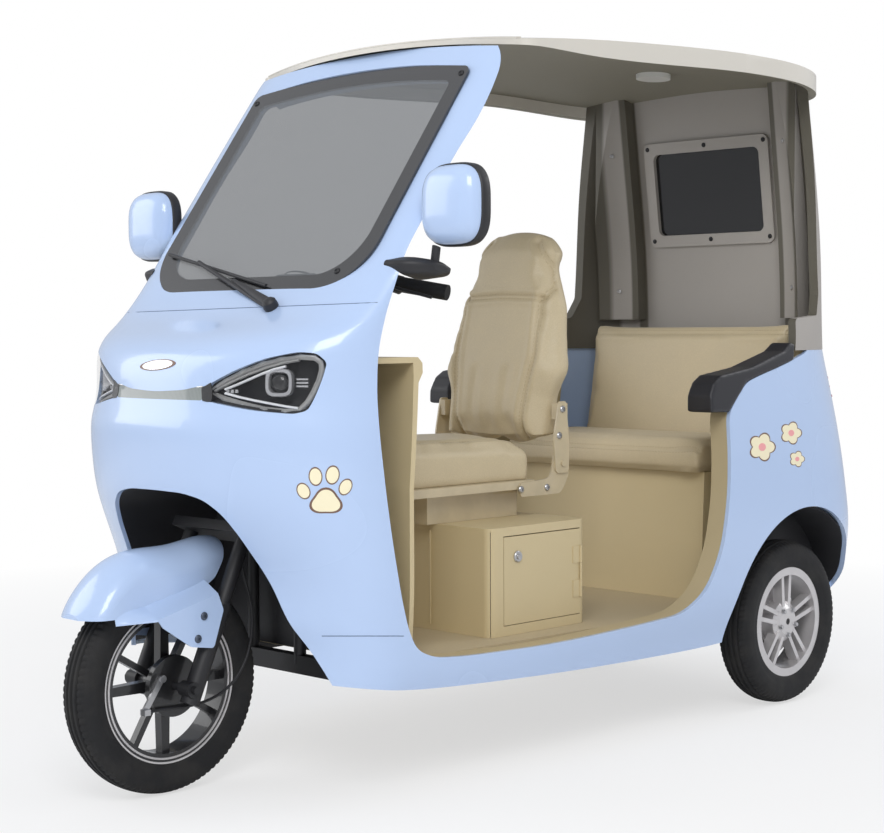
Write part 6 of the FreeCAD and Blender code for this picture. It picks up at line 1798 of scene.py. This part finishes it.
@dataclass
class Fittings(Assembly):
    """Panel gaps and small fittings on the shell, at the handlebar and in the cabin."""

    gap_radius: float = 0.0009
    hood_start: Pair = (128, 312.5)
    hood_step: float = 10.4
    hood_rise: float = 10.0
    hood_points: int = 25
    side_start: Pair = (322, 636.0)
    side_step: float = 5.1
    side_points: int = 17
    cluster_way: Point = (0.0, 0.55, 0.83)
    cluster_up: Point = (0, -0.83, 0.55)
    cluster_out: float = 0.034
    cluster_half: Pair = (0.050, 0.024)
    cluster_rings: tuple[Pair, ...] = ((1.0, 0.0), (0.98, 0.004), (0.90, 0.006), (0.86, 0.004))
    mirror_at: Pair = (0.505, 1.212)
    mirror_half: Pair = (0.079, 0.081)
    mirror_power: float = 0.62
    mirror_shell: tuple[Pair, ...] = ((0.30, 0.3255), (0.55, 0.3275), (0.72, 0.3310), (0.84, 0.3365),
                                      (0.92, 0.3435), (0.97, 0.3520), (0.99, 0.3620), (0.99, 0.3720),
                                      (0.90, 0.3720))
    mirror_rim: tuple[Pair, ...] = ((0.99, 0.3600), (1.025, 0.3625), (1.040, 0.3680), (1.035, 0.3820),
                                    (1.00, 0.3865), (0.93, 0.3865), (0.915, 0.3835), (0.915, 0.3650))
    mirror_face: tuple[Pair, ...] = ((0.92, 0.3700), (0.92, 0.3815), (0.90, 0.3830), (0.45, 0.3836),
                                     (0.02, 0.3838))
    lever: tuple[Point, ...] = ((0.205, 0.470, 1.062), (0.228, 0.448, 1.056), (0.262, 0.446, 1.048),
                                (0.300, 0.462, 1.038), (0.322, 0.480, 1.030))
    pod: tuple[Pair, ...] = ((-0.018, 0.016), (-0.016, 0.0195), (0.014, 0.0205), (0.017, 0.0175))
    pod_at: Point = (0.205, 0.484, 1.062)
    pod_way: Point = (0.86, 0.42, -0.28)
    store_lock_at: Pair = (0.748, 0.452)
    badge_at: Pair = (158, 365)
    badge_half: Pair = (18.0, 5.2)
    badge_lean: float = -0.12
    wiper_pivot: Pair = (272, 308)
    wiper_tip: Pair = (236, 285)
    nut: tuple[Pair, ...] = ((-0.003, 0.015), (0.006, 0.0165), (0.016, 0.0155), (0.021, 0.011),
                             (0.023, 0.004))
    arm_lift: float = 0.013
    arm: tuple[Point, ...] = ((0.0, 0.0115, 0.007), (0.25, 0.0100, 0.006), (0.5, 0.0080, 0.005),
                              (0.8, 0.0060, 0.004), (1.0, 0.0045, 0.003))
    ribs_x: Point = (-0.17, -0.02, 0.13)
    ribs_start_y: float = 0.3
    ribs_low: float = 0.29
    ribs_high: float = 0.215

    def build(self) -> None:
        """Make every fitting."""
        hood = [(self.hood_start[0] + step * self.hood_step,
                 self.hood_start[1] - self.hood_rise * step / (self.hood_points - 1))
                for step in range(self.hood_points)]
        side = [(self.side_start[0] + step * self.side_step, self.side_start[1])
                for step in range(self.side_points)]
        skin = Skin(self.frame, "front_cowl", "windscreen_frame", "side_panel_left")
        self.gap("hood_seam", self.gap_line(skin, hood))
        self.gap("side_seam", self.gap_line(Skin(self.frame, "side_panel_left", "front_cowl"), side).both())
        self.cluster_bezel()
        self.mirrors()
        self.levers()
        self.door_lock()
        self.badge()
        self.wiper_root()
        self.pedestal_ribs()

    def gap_line(self, skin: Skin, pixels: Iterable[Pair]) -> Form:
        """A thin line where these pixels meet a surface."""
        return Form().tube([point for point, _ in self.spots(skin, pixels)], self.gap_radius, 6)

    def gap(self, name: str, form: Form) -> None:
        """Add a panel gap."""
        self.add(name, form, "shadow_line", "vehicle", "body_paint")

    def cluster_bezel(self) -> None:
        """Set a raised rim round the instrument cluster's face."""
        low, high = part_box("instrument_cluster")
        middle = (low + high) / 2 + Vector((0, ORIGIN_Y, 0))
        way = Vector(self.cluster_way).normalized()
        rings = [[middle + way * (self.cluster_out + along)
                  + Vector((math.cos(turn) * self.cluster_half[0] * wide, 0, 0))
                  + Vector(self.cluster_up) * (math.sin(turn) * self.cluster_half[1] * wide)
                  for turn in turns(40)] for wide, along in self.cluster_rings]
        self.add("cluster_bezel", Form().loft(rings, capped=False, looped=True), "black_plastic", "steering")

    def mirrors(self) -> None:
        """Make each mirror's rounded shell, its black rim and its glass."""
        outline = [rounded(turn, self.mirror_power) for turn in turns(72)]

        def rings(rows: Iterable[Pair]) -> list[list[Vector]]:
            """The outline at each size and depth."""
            return [[Vector((self.mirror_at[0] + across * self.mirror_half[0] * size, y,
                             self.mirror_at[1] + up * self.mirror_half[1] * size))
                     for across, up in outline] for size, y in rows]

        shell = self.add("mirror_housings", Form().loft(rings(self.mirror_shell)).both(), "body_paint")
        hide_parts("mirror_shells")
        rim = Form().loft(rings(self.mirror_rim), capped=False, looped=True)
        self.add("mirror_rims", rim.both(), "black_plastic")
        face = self.add("mirror_faces", Form().loft(rings(self.mirror_face)).both(), "mirror_face")
        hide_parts("mirror_glasses")

    def levers(self) -> None:
        """Make the brake levers and the switch blocks by the grips."""
        lever = Form().tube(self.lever, 0.0055, 10, flat=0.6)
        self.add("brake_levers", lever.both(), "black_steel", "steering")
        pod = Form().turned(self.pod, self.pod_at, self.pod_way, 24)
        self.add("switch_pods", pod.both(), "black_plastic", "steering")

    def door_lock(self) -> None:
        """Set the lock on the store door."""
        spot = Skin(self.frame, "store_door").from_side(*self.store_lock_at)
        if spot:
            lock = Form().turned(lock_profile(0.013, 0.008, 0.0065), spot[0], LEFTWARDS, 28)
            self.add("store_lock", lock, "bare_steel", "store_door_body")

    def badge(self) -> None:
        """Set a plain oval badge with a raised rim on the nose."""
        skin = Skin(self.frame, "front_cowl")
        outline = oval(*self.badge_at, *self.badge_half, self.badge_lean, 40)
        for name, size, lift, finish in (("nose_badge_rim", 1.0, 0.0012, "sticker_brown"),
                                         ("nose_badge", 0.84, 0.0016, "badge_silver")):
            form = Form()
            lay(form, skin, outline, size, lift)
            self.add(name, form, finish)

    def wiper_root(self) -> None:
        """Thicken the wiper arm's root and set its domed nut cover."""
        spot = EYE.on(Skin(self.frame, "front_cowl", "windscreen_frame"), *self.wiper_pivot)
        pane = Skin(self.frame, "windscreen_border", "windscreen_glass", "windscreen_frame")
        tip = EYE.on(pane, *self.wiper_tip)
        if not spot or not tip:
            return
        point, normal = spot
        form = Form().turned(self.nut, point, normal, 32)
        run = tip[0] - point
        lift = normal * self.arm_lift
        across = run.normalized().cross(normal)
        form.loft([[point + run * share + lift + across * (math.cos(turn) * wide)
                    + normal * (math.sin(turn) * high) for turn in turns(12)]
                   for share, wide, high in self.arm])
        self.add("wiper_root", form, "black_plastic")

    def pedestal_ribs(self) -> None:
        """Raise the moulded ribs on the seat box's front."""
        skin = Skin(self.frame, "seat_pedestal")
        form = Form()
        for x in self.ribs_x:
            spots = [skin.cast((x, self.ribs_start_y, self.ribs_low + self.ribs_high * step / 8), BACKWARDS)
                     for step in range(9)]
            points = [spot[0] for spot in spots if spot]
            if len(points) > 2:
                form.tube(points, 0.006, 12, flat=0.45)
        self.add("pedestal_ribs", form, "beige_trim")


@dataclass
class Tail(Assembly):
    """The plate, the lid's gap and lock, the reflectors, the pane's seal, and the lamp bar's joints."""

    ring_points: int = 64
    plate_at: Pair = (0.0, 0.62)
    plate_half: Pair = (0.110, 0.062)
    plate_power: float = 0.25
    plate_frame: tuple[Pair, ...] = ((1.04, -0.012), (1.04, 0.006), (1.02, 0.009), (0.93, 0.009),
                                     (0.91, 0.006), (0.91, -0.012))
    plate_face: tuple[Pair, ...] = ((0.93, 0.0), (0.93, 0.0045), (0.92, 0.0055), (0.4, 0.0055),
                                    (0.02, 0.0055))
    plate_lift: float = 0.001
    screw_x: float = 0.065
    screw_out: float = 0.0055
    screw_up: float = 0.66
    lid_at: Pair = (0.0, 0.615)
    lid_half: Pair = (0.245, 0.215)
    lid_power: float = 0.42
    lock_at: Pair = (0.0, 0.775)
    reflector_at: Pair = (0.285, 0.43)
    reflector: tuple[Pair, ...] = ((-0.002, 0.027), (0.003, 0.027), (0.005, 0.0245), (0.0065, 0.012),
                                   (0.0068, 0.001))
    pane_at: Pair = (0.0, 1.3415)
    pane_half: Pair = (0.182, 0.116)
    pane_power: float = 0.28
    joint: tuple[Pair, ...] = ((202.0, 387.0), (205.0, 386.0), (208.5, 384.0), (211.0, 382.5),
                               (212.0, 388.0), (212.5, 393.0), (212.5, 398.0), (211.0, 402.0),
                               (207.0, 402.0), (202.5, 401.0), (202.0, 396.0), (201.8, 391.0))

    def __post_init__(self) -> None:
        """Gather the tail panel's surface."""
        self.panel = Skin(self.frame, "tail_panel")

    def build(self) -> None:
        """Make every piece."""
        self.plate()
        self.lid()
        self.reflectors()
        self.pane_seal()
        self.bar_joints()

    def ring(self, skin: Skin, middle: Pair, half: Pair, power: float, lift: float = 0.0) -> list[Vector]:
        """Lay a rounded outline on the back.

        Args:
            skin: the surface.
            middle: its middle across and up.
            half: half its width and height.
            power: 1 for an oval, less for a squarer outline.
            lift: how far it stands off the surface.

        Returns:
            The points, or none where the surface doesn't hold them all.
        """
        outline = [rounded(turn, power) for turn in turns(self.ring_points)]
        spots = [skin.from_behind(middle[0] + across * half[0], middle[1] + up * half[1])
                 for across, up in outline]
        return [point + normal * lift for point, normal in spots] if all(spots) else []

    def plate(self) -> None:
        """Hang a blank plate in its raised frame."""
        outer = self.ring(self.panel, self.plate_at, self.plate_half, self.plate_power, self.plate_lift)
        if not outer:
            return
        back = max(point.y for point in outer)
        level = [Vector((point.x, back, point.z)) for point in outer]
        middle = Vector((self.plate_at[0], back, self.plate_at[1]))

        def rings(rows: Iterable[Pair]) -> list[list[Vector]]:
            """The outline at each size and distance behind the panel."""
            return [[middle + (point - middle) * size + Vector((0, out, 0)) for point in level]
                    for size, out in rows]

        screws = Form()
        for x in (-self.screw_x, self.screw_x):
            spot = middle + Vector((x, self.screw_out, self.plate_half[1] * self.screw_up))
            screws.dome(spot, Vector(BACKWARDS), 0.006, 0.003)
        self.add("plate_frame", Form().loft(rings(self.plate_frame), capped=False, looped=True),
                 "black_plastic")
        self.add("plate_blank", Form().loft(rings(self.plate_face)), "lamp_white")
        self.add("plate_screws", screws, "bare_steel")

    def lid(self) -> None:
        """Draw the tail lid's gap and set its round lock."""
        points = self.ring(self.panel, self.lid_at, self.lid_half, self.lid_power)
        if points:
            self.add("lid_gap", Form().tube(points, 0.0012, 6, looped=True), "shadow_line", "vehicle",
                     "body_paint")
        spot = self.panel.from_behind(*self.lock_at)
        if spot:
            lock = Form().turned(lock_profile(0.014, 0.0075, 0.0075), spot[0], spot[1], 28)
            self.add("lid_lock", lock, "bare_steel")

    def reflectors(self) -> None:
        """Set a round red reflector low on each side."""
        spot = self.panel.from_behind(*self.reflector_at)
        if spot:
            form = Form().turned(self.reflector, spot[0], spot[1], 40)
            self.add("reflectors", form.both(), "tail_lens")

    def pane_seal(self) -> None:
        """Run a rubber seal round the rear pane on the outside."""
        skin = Skin(self.frame, "rear_window_glass", "rear_shell", "rear_window_frame")
        points = self.ring(skin, self.pane_at, self.pane_half, self.pane_power)
        if points:
            self.add("pane_seal", Form().tube(points, 0.0042, 10, looped=True), "tyre_rubber", "vehicle",
                     "black_plastic")

    def bar_joints(self) -> None:
        """Fill the joints between the light bar and the head lamps."""
        form = Form()
        lay(form, Skin(self.frame, "front_cowl", "headlamps", "light_bar"), self.joint, 1.0, 0.0012)
        self.add("bar_joints", form.both(), "black_border")


# The whole vehicle

NODE_FINISHES = {"armrests": "arm_foam", "side_lining_left": "beige_lining",
                 "side_lining_right": "beige_lining", "floor_pan": "floor_mat",
                 "seat_frame": "cream_steel", "recliner_arms": "cream_steel"}


def dress_nodes(frame: dict) -> None:
    """Give every CAD node its slot's finish.

    Args:
        frame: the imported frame.
    """
    slots = {part["node"]: part["material_slot"] for part in frame["record"]["subparts"]}
    for name, node in frame["nodes"].items():
        node.data.materials.clear()
        node.data.materials.append(PALETTE.get(NODE_FINISHES.get(name, slots[name])))
        for face in node.data.polygons:
            face.material_index = 0


def main() -> None:
    """Build every sub-assembly in order."""
    logging.basicConfig(level=logging.INFO, format="%(name)s %(message)s")
    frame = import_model()
    bpy.context.scene.view_settings.view_transform = "Standard"
    Studio().build()
    dress_nodes(frame)
    FrontWheel(frame, "front", "front_tyre", "front_wheel", (0.0, 0.0, FRONT_RADIUS), FRONT_RADIUS,
               bead=0.163, width=0.080).build()
    for side, name in ((1, "left"), (-1, "right")):
        RearWheel(frame, "rear_" + name, "rear_tyre_" + name, "rear_wheel_" + name,
                  (side * HALF_TRACK, WHEELBASE, REAR_RADIUS), REAR_RADIUS, bead=0.139, width=0.090,
                  blocks=84, skin_node="rear_rim_" + name).build()
    for kind in (Lamps, Fasteners, Stickers, Fittings, Tail, Upholstery):
        kind(frame).build()


if __name__ == "__main__":
    main()
